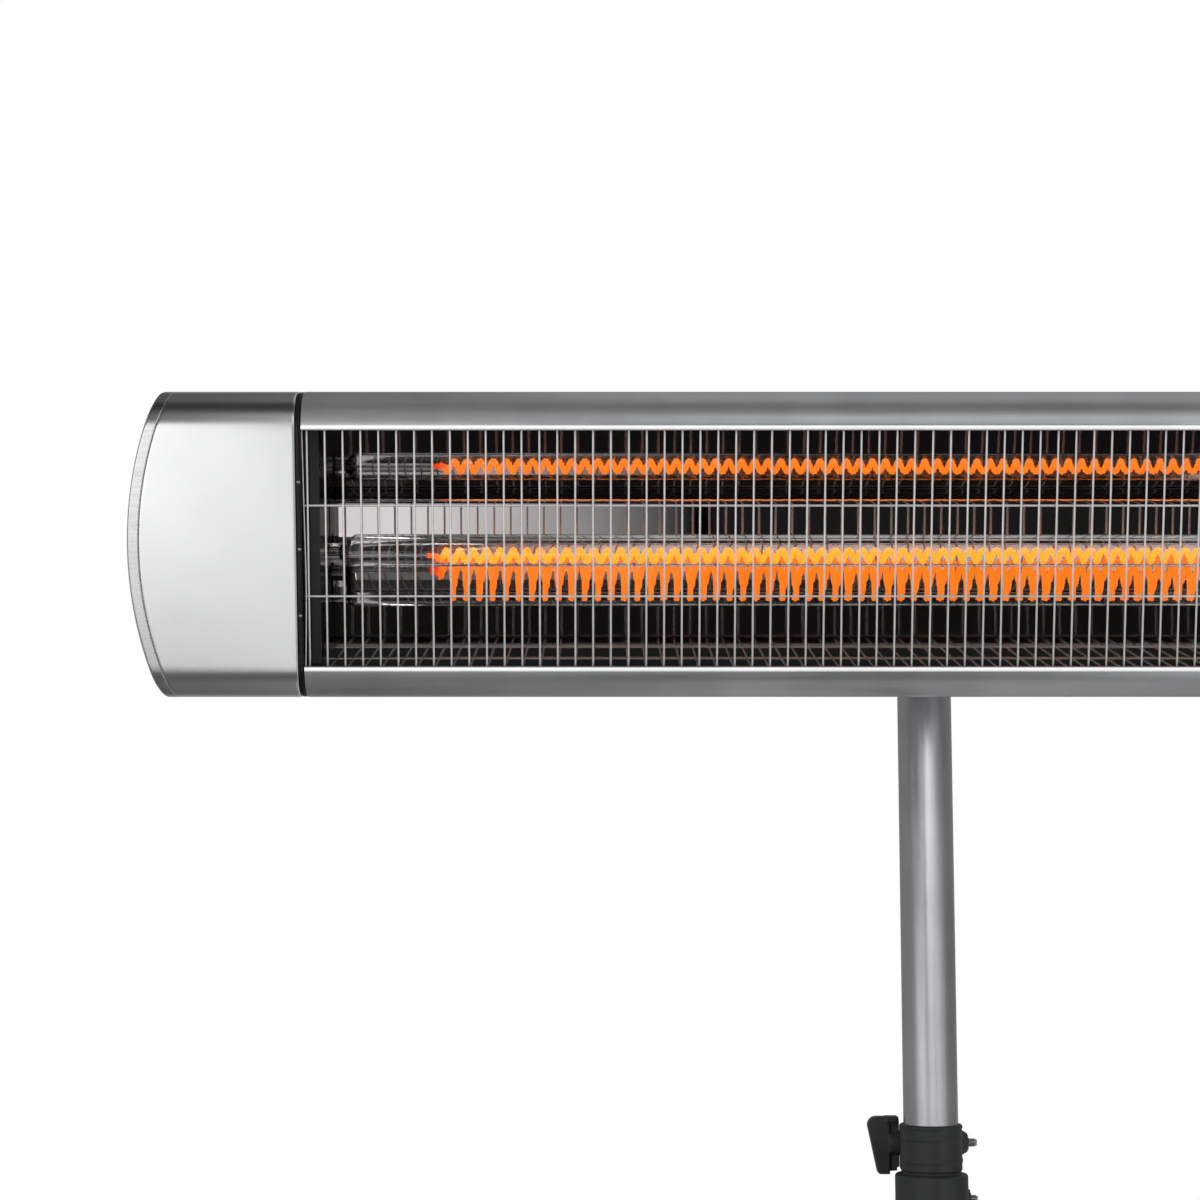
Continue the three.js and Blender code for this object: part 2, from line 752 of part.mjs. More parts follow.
function makeCollar() {
  const top = collarTopHeight;
  const step = top - collarNeckHeight;
  const foot = top - collarHeight;
  const clampLevel = top - clampDrop;
  const fixLevel = top - fixDrop;
  const lug = (right, level) =>
    block(-lugLeft, right, upperRadius, lugBack, level - lugHeight / 2, level + lugHeight / 2);
  const boss = (right, level) =>
    hexBar("x", hexBoss.across, right, right + hexBoss.length, collarBoltBehind, level);
  const nutPocket = (right, level) =>
    hexBar(
      "x",
      collarNut.across + slip,
      right + collarNutSeat,
      right + hexBoss.length + overrun,
      collarBoltBehind,
      level,
    );
  const holeRadius = (collarBoltDiameter + slip) / 2;
  const boltHole = (level) =>
    rod("x", holeRadius, -outerDiameter, outerDiameter, collarBoltBehind, level, smallSides);
  return cut(
    join(
      rod("z", collarNeckDiameter / 2, foot, top, 0, 0, finePipeSides),
      rod("z", collarBodyDiameter / 2, foot, step, 0, 0, finePipeSides),
      lug(clampLugRight, clampLevel),
      lug(fixLugRight, fixLevel),
      boss(clampLugRight, clampLevel),
      boss(fixLugRight, fixLevel),
    ),
    rod("z", upperRadius + slip, foot - overrun, top + overrun, 0, 0, finePipeSides),
    rod("z", outerRadius + slip, foot - overrun, step - collarFloor, 0, 0, finePipeSides),
    block(-collarSlit / 2, collarSlit / 2, 0, lugBack + overrun, foot - overrun, top + overrun),
    nutPocket(clampLugRight, clampLevel),
    nutPocket(fixLugRight, fixLevel),
    boltHole(clampLevel),
    boltHole(fixLevel),
  );
}

function makeCollarNut(right, drop) {
  const level = collarTopHeight - drop;
  const seat = right + collarNutSeat + gap;
  return cut(
    hexBar("x", collarNut.across, seat, seat + collarNut.height, collarBoltBehind, level),
    rod("x", (collarBoltDiameter + slip) / 2, 0, outerDiameter, collarBoltBehind, level, smallSides),
  );
}

function makeWingKnob() {
  const level = collarTopHeight - clampDrop;
  const rounded = wingOuter - wingShoulder;
  const outline = [
    new THREE.Vector2(-wingArmEnd, wingTop),
    ...arcPoints(
      -rounded,
      wingTop - wingShoulder,
      wingShoulder,
      wingShoulder,
      Math.PI / 2,
      Math.PI,
      wingCornerSteps,
    ),
    new THREE.Vector2(-wingFoot, -wingBottom),
    new THREE.Vector2(-wingInner, -wingBottom),
    new THREE.Vector2(-wingInner, wingTop - wingArmDrop),
    new THREE.Vector2(-wingArmEnd, wingTop - wingArmDrop),
  ];
  const front = collarBoltBehind - wingThickness / 2;
  const hubInner = lugLeft + gap;
  return cut(
    join(
      alongY(outline, front, front + wingThickness).translate(0, 0, level),
      rod("x", wingHub.diameter / 2, -hubInner - wingHub.length, -hubInner, collarBoltBehind, level),
    ),
    rod("x", (collarBoltDiameter + slip) / 2, -wingFoot + gap, 0, collarBoltBehind, level, smallSides),
  );
}

function makeOuterTube() {
  return pipe("z", outerRadius, outerBore, outerTubeFoot, outerTubeTop, 0, 0, finePipeSides);
}

function makeHub() {
  const top = hubHeight + hubAbove;
  const foot = hubHeight - hubBelow;
  const lugHalf = legRadius;
  const lugOutline = [
    new THREE.Vector2(0, -hubLugHeight / 2),
    ...arcPoints(
      pivotRadius,
      0,
      lugReach,
      hubLugHeight / 2,
      -Math.PI / 2,
      Math.PI / 2,
      smallSides / 2,
    ),
    new THREE.Vector2(0, hubLugHeight / 2),
  ];
  const lugs = armAngles.map((angle) =>
    alongY(lugOutline, -lugHalf, lugHalf)
      .translate(0, 0, hubHeight)
      .rotateZ(angle * radians),
  );
  return cut(
    join(rod("z", hubDiameter / 2, foot, top, 0, 0, finePipeSides), ...lugs),
    rod("z", outerRadius + slip, foot - overrun, top + overrun, 0, 0, finePipeSides),
    rod("y", (hubScrew.diameter + slip) / 2, 0, hubDiameter, 0, hubHeight, smallSides),
  );
}

function makeHubScrew() {
  const { diameter, head, headHeight } = hubScrew;
  const seat = hubDiameter / 2 + gap;
  return radialScrew(diameter, head, headHeight, seat - outerRadius - gap, seat, hubHeight);
}

function makeYoke() {
  const inner = legRadius + slip;
  const outer = inner + yokeEarThickness;
  const quarter = Math.PI / 2;
  const earOutline = [
    new THREE.Vector2(outerRadius, -yokeEarHeight / 2),
    ...arcPoints(pivotRadius, 0, yokeEarReach, yokeEarHeight / 2, -quarter, quarter, smallSides / 2),
    new THREE.Vector2(outerRadius, yokeEarHeight / 2),
  ];
  const ears = armAngles.flatMap((angle) =>
    [
      [inner, outer],
      [-outer, -inner],
    ].map(([from, to]) =>
      alongY(earOutline, from, to)
        .translate(0, 0, yokeLevel)
        .rotateZ(angle * radians),
    ),
  );
  const pinHoles = armAngles.map((angle) =>
    rod("y", pinRadius + gap, -hubDiameter, hubDiameter, pivotRadius, yokeLevel, smallSides).rotateZ(
      angle * radians,
    ),
  );
  const foot = yokeLevel - yokeHeight / 2;
  const top = yokeLevel + yokeHeight / 2;
  return cut(
    join(
      rod("z", hubDiameter / 2, foot, top, 0, 0, finePipeSides),
      rod("y", bossDiameter / 2, outerRadius, bossReach, 0, yokeLevel),
      ...ears,
    ),
    rod("z", outerRadius + slip, foot - overrun, top + overrun, 0, 0, finePipeSides),
    rod("y", lockStudDiameter / 2 + gap, 0, bossReach + overrun, 0, yokeLevel, smallSides),
    ...pinHoles,
  );
}

function makeYokeKnob() {
  const knob = lobedKnob(lockStudDiameter);
  const stud = rod("x", lockStudDiameter / 2, outerRadius - bossReach, knobBoreDepth + gap);
  return join(knob, stud)
    .rotateZ(Math.PI / 2)
    .translate(0, bossReach + gap, yokeLevel);
}

// Leg parts are drawn with the pivot at the origin and the leg straight down.
function makeLeg() {
  const profile = [
    new THREE.Vector2(0, -legLength),
    new THREE.Vector2(legRadius, -legLength),
    ...arcPoints(0, 0, legRadius, legRadius, 0, Math.PI / 2, domeSteps),
  ];
  profile.at(-1).x = 0;
  return cut(
    new THREE.LatheGeometry(profile, roundSides).rotateX(Math.PI / 2),
    rod("z", legRadius - legWall, -legLength - overrun, -legSolidTop),
    rod("y", pinRadius + gap, -legDiameter, legDiameter, 0, 0, smallSides),
    rod("y", pinRadius + gap, -legDiameter, legDiameter, 0, -braceLength, smallSides),
  );
}

function makePivotPin() {
  const seat = legRadius + slip + yokeEarThickness + gap;
  return join(
    rod("y", pinRadius, -seat - gap, seat + gap, 0, 0, smallSides),
    rod("y", pinHead.radius, seat, seat + pinHead.height, 0, 0, smallSides),
    rod("y", pinHead.radius, -seat - pinHead.height, -seat, 0, 0, smallSides),
  );
}

function makeBrace() {
  const inner = legRadius + braceClearance;
  const outer = inner + braceThickness;
  const half = braceWidth / 2;
  const strip = [
    ...arcPoints(0, 0, half, half, 0, Math.PI, smallSides / 2),
    ...arcPoints(0, -braceLength, half, half, Math.PI, 2 * Math.PI, smallSides / 2),
  ];
  const rivet = (from, to, level) => rod("y", pinHead.radius, from, to, 0, level, smallSides);
  const heads = [0, -braceLength].flatMap((level) => [
    rivet(outer - gap, outer + pinHead.height, level),
    rivet(-outer - pinHead.height, -outer + gap, level),
  ]);
  return join(
    alongY(strip, inner, outer),
    alongY(strip, -outer, -inner),
    rod("y", pinRadius, -outer + gap, outer - gap, 0, 0, smallSides),
    ...heads,
  );
}

function makeFoot(legPlace) {
  const boot = cut(
    rod("z", footDiameter / 2, -legLength - footToe, -legLength + footLength - footToe),
    rod("z", legRadius + gap, -legLength - gap, -legLength + footLength),
  ).applyMatrix4(legPlace);
  const wide = legLength + pivotRadius + footLength;
  return cut(boot, block(-wide, wide, -footDiameter, footDiameter, -footLength, 0));
}

// The head, drawn with the middle of its face at the origin: X along it, Y backwards, Z up the face
const head = new THREE.Group();
addPiece(head, "housing_shell", makeShell(), satinAluminium);
for (const [word, side] of Object.entries(sides)) {
  addPiece(head, "end_cap_" + word, makeCap(side), paleCover);
  addPiece(head, "end_plate_" + word, makeEndPlate(side), satinAluminium);
  addPiece(head, "end_liner_" + word, makeLiner(side), blackPlastic);
  addPiece(head, "ceramic_holder_" + word, makeHolder(side), whiteCeramic);
  const pinSpan = reach(side, coilEnd + gap, pinEnd);
  const pin = rod("x", pinDiameter / 2, ...pinSpan, quartzDepth, coilHeight);
  addPiece(head, "cold_pin_" + word, pin, plainSteel);
  addPiece(head, "bracket_screw_" + word, makeBracketScrew(side), plainSteel);
}
addPiece(head, "reflector", makeReflector(), polishedMirror);
addPiece(head, "guard_grille", makeGrille(), brightWire);
const quartzHalf = seamX + quartzGrip;
const quartz = pipe("x", quartzRadius, quartzBore, -quartzHalf, quartzHalf, quartzDepth, quartzHeight);
addPiece(head, "quartz_tube", quartz, clearQuartz);
addPiece(head, "heating_coil", makeCoil(), glowingWire);

const blockOuter = seamX + blockWidth;
const blockDepths = [blockMiddle.depth - blockDepth / 2, blockMiddle.depth + blockDepth / 2];
const blockHeights = [blockMiddle.height - blockHeight / 2, blockMiddle.height + blockHeight / 2];
addPiece(head, "terminal_block", block(-blockOuter, -seamX, ...blockDepths, ...blockHeights), whiteCeramic);
const cutoutSpan = [-seamX - cutoutThickness, -seamX];
const cutoutBody = rod("x", cutoutDiameter / 2, ...cutoutSpan, cutoutMiddle.depth, cutoutMiddle.height);
const cutoutEar = block(
  -seamX - cutoutFlange.thickness,
  -seamX,
  cutoutMiddle.depth - cutoutFlange.width / 2,
  cutoutMiddle.depth + cutoutFlange.width / 2,
  cutoutMiddle.height - cutoutFlange.height / 2,
  cutoutMiddle.height + cutoutFlange.height / 2,
);
addPiece(head, "thermal_cutout", join(cutoutBody, cutoutEar), plainSteel);

const leadStart = pinEnd + gap;
const portX = -blockOuter - gap;
const innerPort = blockMiddle.depth + blockPortSpacing / 2;
const outerPort = blockMiddle.depth - blockPortSpacing / 2;
const switchBack = headDepth - switchBody.depth;
const leadRoutes = {
  supply_lead_left: [
    [-leadStart, quartzDepth, coilHeight],
    [-leadStart - leadBend / 2, quartzDepth, coilHeight],
    [-leadStart - leadBend, quartzDepth, coilHeight - leadBend],
    [-leadStart - leadBend, outerPort, blockMiddle.height + leadBend],
    [portX - leadBend / 2, outerPort, blockMiddle.height],
    [portX, outerPort, blockMiddle.height],
  ],
  cutout_lead: [
    [cutoutSpan[0] - gap, cutoutMiddle.depth, cutoutMiddle.height],
    [cutoutSpan[0] - leadBend, cutoutMiddle.depth, cutoutMiddle.height],
    [switchX, cutoutMiddle.depth, cutoutMiddle.height - leadBend],
    [switchX, switchBack - leadBend, leadBend / 2],
    [switchX, switchBack - leadBend / 2, 0],
    [switchX, switchBack, 0],
  ],
};
for (const [name, route] of Object.entries(leadRoutes))
  addPiece(head, name, lead(route, leadSteps), leadSleeve);
const longRoute = [
  [leadStart, quartzDepth, coilHeight],
  [leadStart + leadBend / 2, quartzDepth, coilHeight],
  [leadStart + leadBend, behindTrough.depth - leadBend / 2, behindTrough.height / 2],
  [seamX + leadBend, behindTrough.depth, behindTrough.height],
  [seamX, behindTrough.depth, behindTrough.height],
  [seamX / 2, behindTrough.depth, behindTrough.height],
  [0, behindTrough.depth, behindTrough.height],
  [-seamX / 2, behindTrough.depth, behindTrough.height],
  [-seamX, behindTrough.depth, behindTrough.height],
  [-seamX - leadBend / 2, behindTrough.depth, behindTrough.height],
  [-leadStart - leadBend, behindTrough.depth - leadBend, 0],
  [-leadStart - leadBend, innerPort, blockMiddle.height / 2 - leadBend],
  [portX - leadBend / 2, innerPort, blockMiddle.height],
  [portX, innerPort, blockMiddle.height],
];
addPiece(head, "supply_lead_right", lead(longRoute, longLeadSteps), leadSleeve);

addPiece(head, "switch_housing", makeSwitchHousing(), blackPlastic);
addPiece(head, "switch_rocker", makeRocker(), blackPlastic);
addPiece(head, "cable_gland", makeGland(), blackPlastic);
addPiece(head, "rear_bracket", makeBracket(), blackSteel);
addPiece(head, "tilt_bolt", makeTiltBolt(), plainSteel);
const washerInner = earInside / 2 + earThickness + gap;
const washerOuter = washerInner + washer.thickness;
const tiltHole = tiltBoltDiameter / 2 + slip;
addPiece(
  head,
  "tilt_washer",
  pipe("x", washer.diameter / 2, tiltHole, washerInner, washerOuter, pivotDepth),
  plainSteel,
);
const tiltKnob = lobedKnob(tiltBoltDiameter + 2 * slip).translate(washerOuter + gap, pivotDepth, 0);
addPiece(head, "tilt_knob", tiltKnob, blackPlastic);
head.position.set(0, -pivotDepth, 0);

const tilt = new THREE.Group();
tilt.position.set(0, 0, pivotHeight);
tilt.rotation.x = headTiltDegrees * radians;
tilt.add(head);

// The pole, round the pole's own axis
const pole = new THREE.Group();
addPiece(pole, "pole_head", makePoleHead(), blackSteel);
const headScrewLength = upperRadius / 2;
addPiece(
  pole,
  "pole_head_screw",
  radialScrew(
    screwDiameter,
    screwHead.diameter,
    screwHead.height,
    headScrewLength,
    upperRadius + gap,
    poleTop - headScrewBelowTop,
  ),
  plainSteel,
);
addPiece(pole, "upper_tube", makeUpperTube(), poleAluminium);
addPiece(pole, "slide_plug", makeSlidePlug(), blackPlastic);
addPiece(pole, "clamp_collar", makeCollar(), blackPlastic);
addPiece(pole, "clamp_knob", makeWingKnob(), blackPlastic);
const clampBoltSpan = [-wingFoot + 2 * gap, collarBoltEnd];
const clampLevel = collarTopHeight - clampDrop;
addPiece(
  pole,
  "clamp_bolt",
  rod("x", collarBoltDiameter / 2, ...clampBoltSpan, collarBoltBehind, clampLevel, smallSides),
  plainSteel,
);
addPiece(pole, "clamp_nut", makeCollarNut(clampLugRight, clampDrop), plainSteel);
const fixLevel = collarTopHeight - fixDrop;
const fixSeat = -lugLeft - gap;
addPiece(
  pole,
  "collar_fix_bolt",
  join(
    rod("x", collarBoltDiameter / 2, fixSeat - gap, collarBoltEnd, collarBoltBehind, fixLevel, smallSides),
    hexBar("x", fixHead.across, fixSeat - fixHead.height, fixSeat, collarBoltBehind, fixLevel),
  ),
  plainSteel,
);
addPiece(pole, "collar_fix_nut", makeCollarNut(fixLugRight, fixDrop), plainSteel);
addPiece(pole, "outer_tube", makeOuterTube(), blackSteel);
const plugFoot = outerTubeFoot - endPlugFlange;
const endPlug = join(
  rod("z", outerBore - gap, plugFoot, outerTubeFoot + endPlugInside, 0, 0, finePipeSides),
  rod("z", outerRadius, plugFoot, outerTubeFoot - gap, 0, 0, finePipeSides),
);
addPiece(pole, "tube_end_plug", endPlug, blackPlastic);

// The folding base: three arms, each turned round the pole
addPiece(pole, "base_hub", makeHub(), blackPlastic);
addPiece(pole, "hub_screw", makeHubScrew(), plainSteel);
addPiece(pole, "leg_yoke", makeYoke(), blackPlastic);
addPiece(pole, "yoke_knob", makeYokeKnob(), blackPlastic);
armAngles.forEach((angle, i) => {
  const number = i + 1;
  const arm = new THREE.Group();
  arm.rotation.z = angle * radians;
  const leg = new THREE.Group();
  leg.position.set(pivotRadius, 0, yokeLevel);
  leg.rotation.y = -legOpen;
  leg.updateMatrix();
  addPiece(leg, "leg_" + number, makeLeg(), blackSteel);
  addPiece(leg, "leg_pin_" + number, makePivotPin(), plainSteel);
  const brace = new THREE.Group();
  brace.position.set(
    pivotRadius + braceLength * Math.sin(legOpen),
    0,
    yokeLevel - braceLength * Math.cos(legOpen),
  );
  brace.rotation.y = legOpen;
  addPiece(brace, "brace_" + number, makeBrace(), blackSteel);
  arm.add(leg, brace);
  addPiece(arm, "foot_" + number, makeFoot(leg.matrix), blackRubber);
  pole.add(arm);
});

// The whole heater, moved so that the origin lies under the middle of its box
const heater = new THREE.Group();
heater.add(pole, tilt);
heater.updateMatrixWorld(true);
const box = new THREE.Box3().setFromObject(heater, true);
heater.children.forEach((child) => child.position.setY(child.position.y - (box.min.y + box.max.y) / 2));

export default heater;
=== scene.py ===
"""Infrared patio heater on a telescopic pole: the looks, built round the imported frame."""
import json
from math import asin, atan2, copysign, cos, degrees, hypot, pi, radians, sin, sqrt, tan
import bmesh
import bpy
from mathutils import Matrix, Vector, noise


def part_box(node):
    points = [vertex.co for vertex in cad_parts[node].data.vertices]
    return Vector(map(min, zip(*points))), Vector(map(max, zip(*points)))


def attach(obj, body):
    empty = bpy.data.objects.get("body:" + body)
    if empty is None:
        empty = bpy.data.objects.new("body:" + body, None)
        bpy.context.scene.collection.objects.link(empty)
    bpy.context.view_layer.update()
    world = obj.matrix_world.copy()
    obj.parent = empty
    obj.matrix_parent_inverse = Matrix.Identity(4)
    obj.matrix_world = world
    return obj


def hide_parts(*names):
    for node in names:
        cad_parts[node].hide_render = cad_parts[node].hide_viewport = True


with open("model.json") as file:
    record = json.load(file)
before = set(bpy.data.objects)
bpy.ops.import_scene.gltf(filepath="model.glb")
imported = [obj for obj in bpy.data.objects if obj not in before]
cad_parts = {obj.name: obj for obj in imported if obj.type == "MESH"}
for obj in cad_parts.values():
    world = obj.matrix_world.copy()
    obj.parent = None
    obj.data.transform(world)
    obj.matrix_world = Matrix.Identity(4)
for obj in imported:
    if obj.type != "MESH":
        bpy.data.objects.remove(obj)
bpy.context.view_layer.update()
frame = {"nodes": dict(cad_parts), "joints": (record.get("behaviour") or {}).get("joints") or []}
MM = 0.001
JOINTS = {joint["name"]: joint for joint in frame["joints"]}

# Where the head hangs: it turns about the tilt pivot, and its face looks down by this angle
HEAD_TILT = radians(14)
TILT_PIVOT = Vector(JOINTS["head_tilt"]["pos_m"])
POLE = Vector((TILT_PIVOT.x, TILT_PIVOT.y, 0))


def turned_box(node, matrix):
    """Lowest and highest corner of a CAD node, measured along the axes of a turned frame."""
    to_local = matrix.inverted()
    points = [to_local @ v.co for v in frame["nodes"][node].data.vertices]
    low = Vector([min(p[i] for p in points) for i in range(3)])
    high = Vector([max(p[i] for p in points) for i in range(3)])
    return low, high


TURN = Matrix.Translation(TILT_PIVOT) @ Matrix.Rotation(HEAD_TILT, 4, "X")
PIVOT_DEPTH = -turned_box("housing_shell", TURN)[0].y
HEAD = TURN @ Matrix.Translation((0, -PIVOT_DEPTH, 0))  # from (along, depth, height) to the world


def head_box(node):
    return turned_box(node, HEAD)


# The head's section, as in the frame
HALF_LENGTH = head_box("end_plate_right")[1].x
HALF_HEIGHT = head_box("housing_shell")[1].z
HEAD_DEPTH = head_box("housing_shell")[1].y
CORNER = 18 * MM
STRAIGHT = 25 * MM  # depth at which the curved back starts
WALL = 2 * MM
BOW_RADIUS = 204 * MM
PLATE = 6 * MM
LIP_EDGE = HALF_HEIGHT - CORNER
BOW_CENTRE = HALF_LENGTH - BOW_RADIUS
FIT = 0.3 * MM
PLAY = 0.4 * MM  # between a bore and what slides or turns in it
QUARTZ_RADIUS = 7.6 * MM

# How many sides round forms have
COLLAR_SIDES = 160
KNOB_SIDES = 144
TUBE_SIDES = 128
PLUG_SIDES = 96
TURNED_SIDES = 72
ROD_SIDES = 48
SCREW_SIDES = 40
RIVET_SIDES = 32
THIN_SIDES = 24
WIRE_SIDES = 12


# Mesh tools
def arc(a, b, radius_a, radius_b, start, end, steps):
    """Points of an elliptical arc, its two angles in degrees."""
    turns = [radians(start + (end - start) * i / steps) for i in range(steps + 1)]
    return [(a + radius_a * cos(t), b + radius_b * sin(t)) for t in turns]


def round_turns(sides):
    return [2 * pi * k / sides for k in range(sides)]


def rounding(size, turns):
    """Steps round an edge: how far in from one of its faces and how far short of the other."""
    return [(size * (1 - cos(radians(t))), size * (1 - sin(radians(t)))) for t in turns]


class Form:
    """The vertices and faces of one piece, gathered from lofts."""

    def __init__(self):
        self.verts = []
        self.faces = []

    def loft(self, rings, around=True, along=False, ends=True):
        """Joins rings of equally many points. around closes each ring, along the row of rings."""
        base = len(self.verts)
        count = len(rings[0])
        for ring in rings:
            self.verts.extend(Vector(p) for p in ring)
        for r in range(len(rings) if along else len(rings) - 1):
            a = base + r * count
            b = base + (r + 1) % len(rings) * count
            for k in range(count if around else count - 1):
                n = (k + 1) % count
                self.faces.append((a + k, a + n, b + n, b + k))
        if ends and around and not along:
            last = base + (len(rings) - 1) * count
            self.faces.append(tuple(range(base, base + count))[::-1])
            self.faces.append(tuple(range(last, last + count)))
        return self

    def moved(self, matrix):
        self.verts = [matrix @ v for v in self.verts]
        return self

    def joined(self, *others):
        for other in others:
            base = len(self.verts)
            self.verts.extend(other.verts)
            self.faces.extend(tuple(base + i for i in face) for face in other.faces)
        return self


def lathe(profile, sides=PLUG_SIDES, closed=False):
    """A turned form round Z from (radius, height) points; closed joins the profile's end to its start."""
    rings = []
    for radius, height in profile:
        rings.append([(radius * cos(t), radius * sin(t), height) for t in round_turns(sides)])
    return Form().loft(rings, along=closed)


def prism(outline, low, high):
    """An outline of (y, z) points, drawn out along X."""
    return Form().loft([[(x, y, z) for y, z in outline] for x in (low, high)])


def slab(outline, low, high):
    """An outline of (x, z) points, drawn out along Y."""
    return Form().loft([[(x, y, z) for x, z in outline] for y in (low, high)])


def brick(low, high):
    outline = [(low[1], low[2]), (high[1], low[2]), (high[1], high[2]), (low[1], high[2])]
    return prism(outline, low[0], high[0])


def tangent_at(line, i):
    return (line[min(i + 1, len(line) - 1)] - line[max(i - 1, 0)]).normalized()


def sweep(line, radius, sides):
    """A round tube along a line of points. radius may be a list, one for each point."""
    line = [Vector(p) for p in line]
    radii = radius if isinstance(radius, list) else [radius] * len(line)
    rings = []
    up = Vector((0, 0, 1))
    for i, point in enumerate(line):
        tangent = tangent_at(line, i)
        if abs(tangent.dot(up)) > 0.99:
            up = tangent.orthogonal()
        up = (up - tangent * up.dot(tangent)).normalized()
        side = tangent.cross(up)
        rings.append([point + radii[i] * (up * cos(t) + side * sin(t)) for t in round_turns(sides)])
    return Form().loft(rings)


def smooth_line(points, steps):
    """A Catmull-Rom curve through a route's points, with even steps between each two."""
    points = [Vector(p) for p in points]
    padded = [2 * points[0] - points[1], *points, 2 * points[-1] - points[-2]]
    line = []
    for i in range(len(points) - 1):
        a, b, c, d = padded[i : i + 4]
        for k in range(steps):
            t = k / steps
            curve = 2 * b + (c - a) * t + (2 * a - 5 * b + 4 * c - d) * t * t
            line.append((curve + (3 * b - a - 3 * c + d) * t ** 3) / 2)
    return [*line, points[-1]]


TO_X = Matrix.Rotation(radians(90), 4, "Y")  # turns a form made round Z to lie along X
TO_BACK = Matrix.Rotation(radians(-90), 4, "X")  # and this one to lie along Y


def at(x=0, y=0, z=0):
    return Matrix.Translation((x, y, z))


def rounded_rod(radius, low, high, edge=0.4 * MM, sides=64, bore=0):
    """A rod along Z with rounded edges, or a tube if it has a bore."""
    steps = 3
    foot = arc(radius - edge, low + edge, edge, edge, -90, 0, steps)
    top = arc(radius - edge, high - edge, edge, edge, 0, 90, steps)
    if not bore:
        return lathe([(edge / 8, low), *foot, *top, (edge / 8, high)], sides)
    inner = arc(bore + edge, high - edge, edge, edge, 90, 180, steps)
    inner += arc(bore + edge, low + edge, edge, edge, 180, 270, steps)
    return lathe([*foot, *top, *inner], sides, closed=True)


def rod_x(radius, low, high, depth, height, edge=0.4 * MM, sides=ROD_SIDES):
    return rounded_rod(radius, low, high, edge, sides).moved(at(0, depth, height) @ TO_X)


def rod_y(radius, low, high, x, height, edge=0.4 * MM, sides=ROD_SIDES):
    return rounded_rod(radius, low, high, edge, sides).moved(at(x, 0, height) @ TO_BACK)


HEXAGON = [radians(60 * k) for k in range(6)]


def hexagon(across, low, high, chamfer=0.6 * MM):
    """A hexagonal nut or head along Z, its corners turned off at both ends."""
    corner = across / sqrt(3)
    points = []
    for i, turn in enumerate(HEXAGON):
        a, b = (Vector((cos(t), sin(t))) for t in (turn, HEXAGON[i - 5]))
        points += [corner * (a * (1 - share) + b * share) for share in (0, 1 / 4, 1 / 2, 3 / 4)]

    def ring(height, limit):
        return [(*(p * min(1, limit / p.length)), height) for p in points]

    turned = across / 2
    middle = (turned + corner) / 2
    foot = [ring(low, turned), ring(low + chamfer / 2, middle), ring(low + chamfer, corner)]
    top = [ring(high - chamfer, corner), ring(high - chamfer / 2, middle), ring(high, turned)]
    return Form().loft(foot + top)


def threaded(radius, low, high, pitch=0.8 * MM):
    """A threaded rod along Z, with a chamfered far end."""
    depth = 0.35 * MM
    profile = [(depth, low), (radius - depth, low)]
    z = low
    while z < high - 2 * pitch:
        profile += [(radius, z + pitch * 0.4), (radius, z + pitch * 0.6), (radius - depth, z + pitch)]
        z += pitch
    profile += [(radius - depth, high - pitch), (radius - 2 * depth, high), (depth, high)]
    return lathe(profile, ROD_SIDES)


# Pieces
def mesh_of(form, name):
    mesh = bpy.data.meshes.new(name)
    mesh.from_pydata([tuple(v) for v in form.verts], [], form.faces)
    bm = bmesh.new()
    bm.from_mesh(mesh)
    bmesh.ops.remove_doubles(bm, verts=bm.verts, dist=1e-7)
    bmesh.ops.recalc_face_normals(bm, faces=bm.faces)
    bm.to_mesh(mesh)
    bm.free()
    return mesh


def new_object(name, data):
    made = bpy.data.objects.new(name, data)
    bpy.context.scene.collection.objects.link(made)
    return made


def with_cuts(form, cuts, overlapping=False):
    """An object of a form with its cuts as modifiers, and the objects that cut it."""
    made = new_object("blank", mesh_of(form, "blank"))
    tools = [new_object("cutter", mesh_of(tool, "cutter")) for tool in cuts]
    for i, tool in enumerate(tools):
        modifier = made.modifiers.new("cut", "BOOLEAN")
        modifier.operation = "DIFFERENCE"
        modifier.solver = "EXACT"
        modifier.use_self = overlapping and i == 0
        modifier.object = tool
    return made, tools


def finished(made, tools):
    """The mesh of an object with its modifiers applied; the object and its cutters go."""
    bpy.context.view_layer.update()
    mesh = bpy.data.meshes.new_from_object(made.evaluated_get(bpy.context.evaluated_depsgraph_get()))
    for extra in [made, *tools]:
        bpy.data.objects.remove(extra)
    return mesh


def moulded(form, cuts, voxel, smoothing):
    """One closed skin over overlapping closed forms, less the cuts, with softly rounded edges."""
    made, tools = with_cuts(form, cuts, overlapping=True)
    remesh = made.modifiers.new("skin", "REMESH")
    remesh.mode = "VOXEL"
    remesh.voxel_size = voxel
    soft = made.modifiers.new("soft", "SMOOTH")
    soft.iterations = smoothing
    soft.factor = 0.5
    return finished(made, tools)


def carved(form, *cuts):
    """A closed form less other closed forms, its edges left crisp."""
    return finished(*with_cuts(form, cuts))


def soften_edges(mesh, width):
    """Rounds each edge at which the faces turn by more than 50 degrees."""
    bm = bmesh.new()
    bm.from_mesh(mesh)
    limit = radians(50)
    edges = [e for e in bm.edges if len(e.link_faces) == 2 and e.calc_face_angle(0) > limit]
    bmesh.ops.bevel(
        bm, geom=edges, offset=width, offset_type="OFFSET", segments=2, profile=0.5, affect="EDGES",
        clamp_overlap=True,
    )
    bm.to_mesh(mesh)
    bm.free()


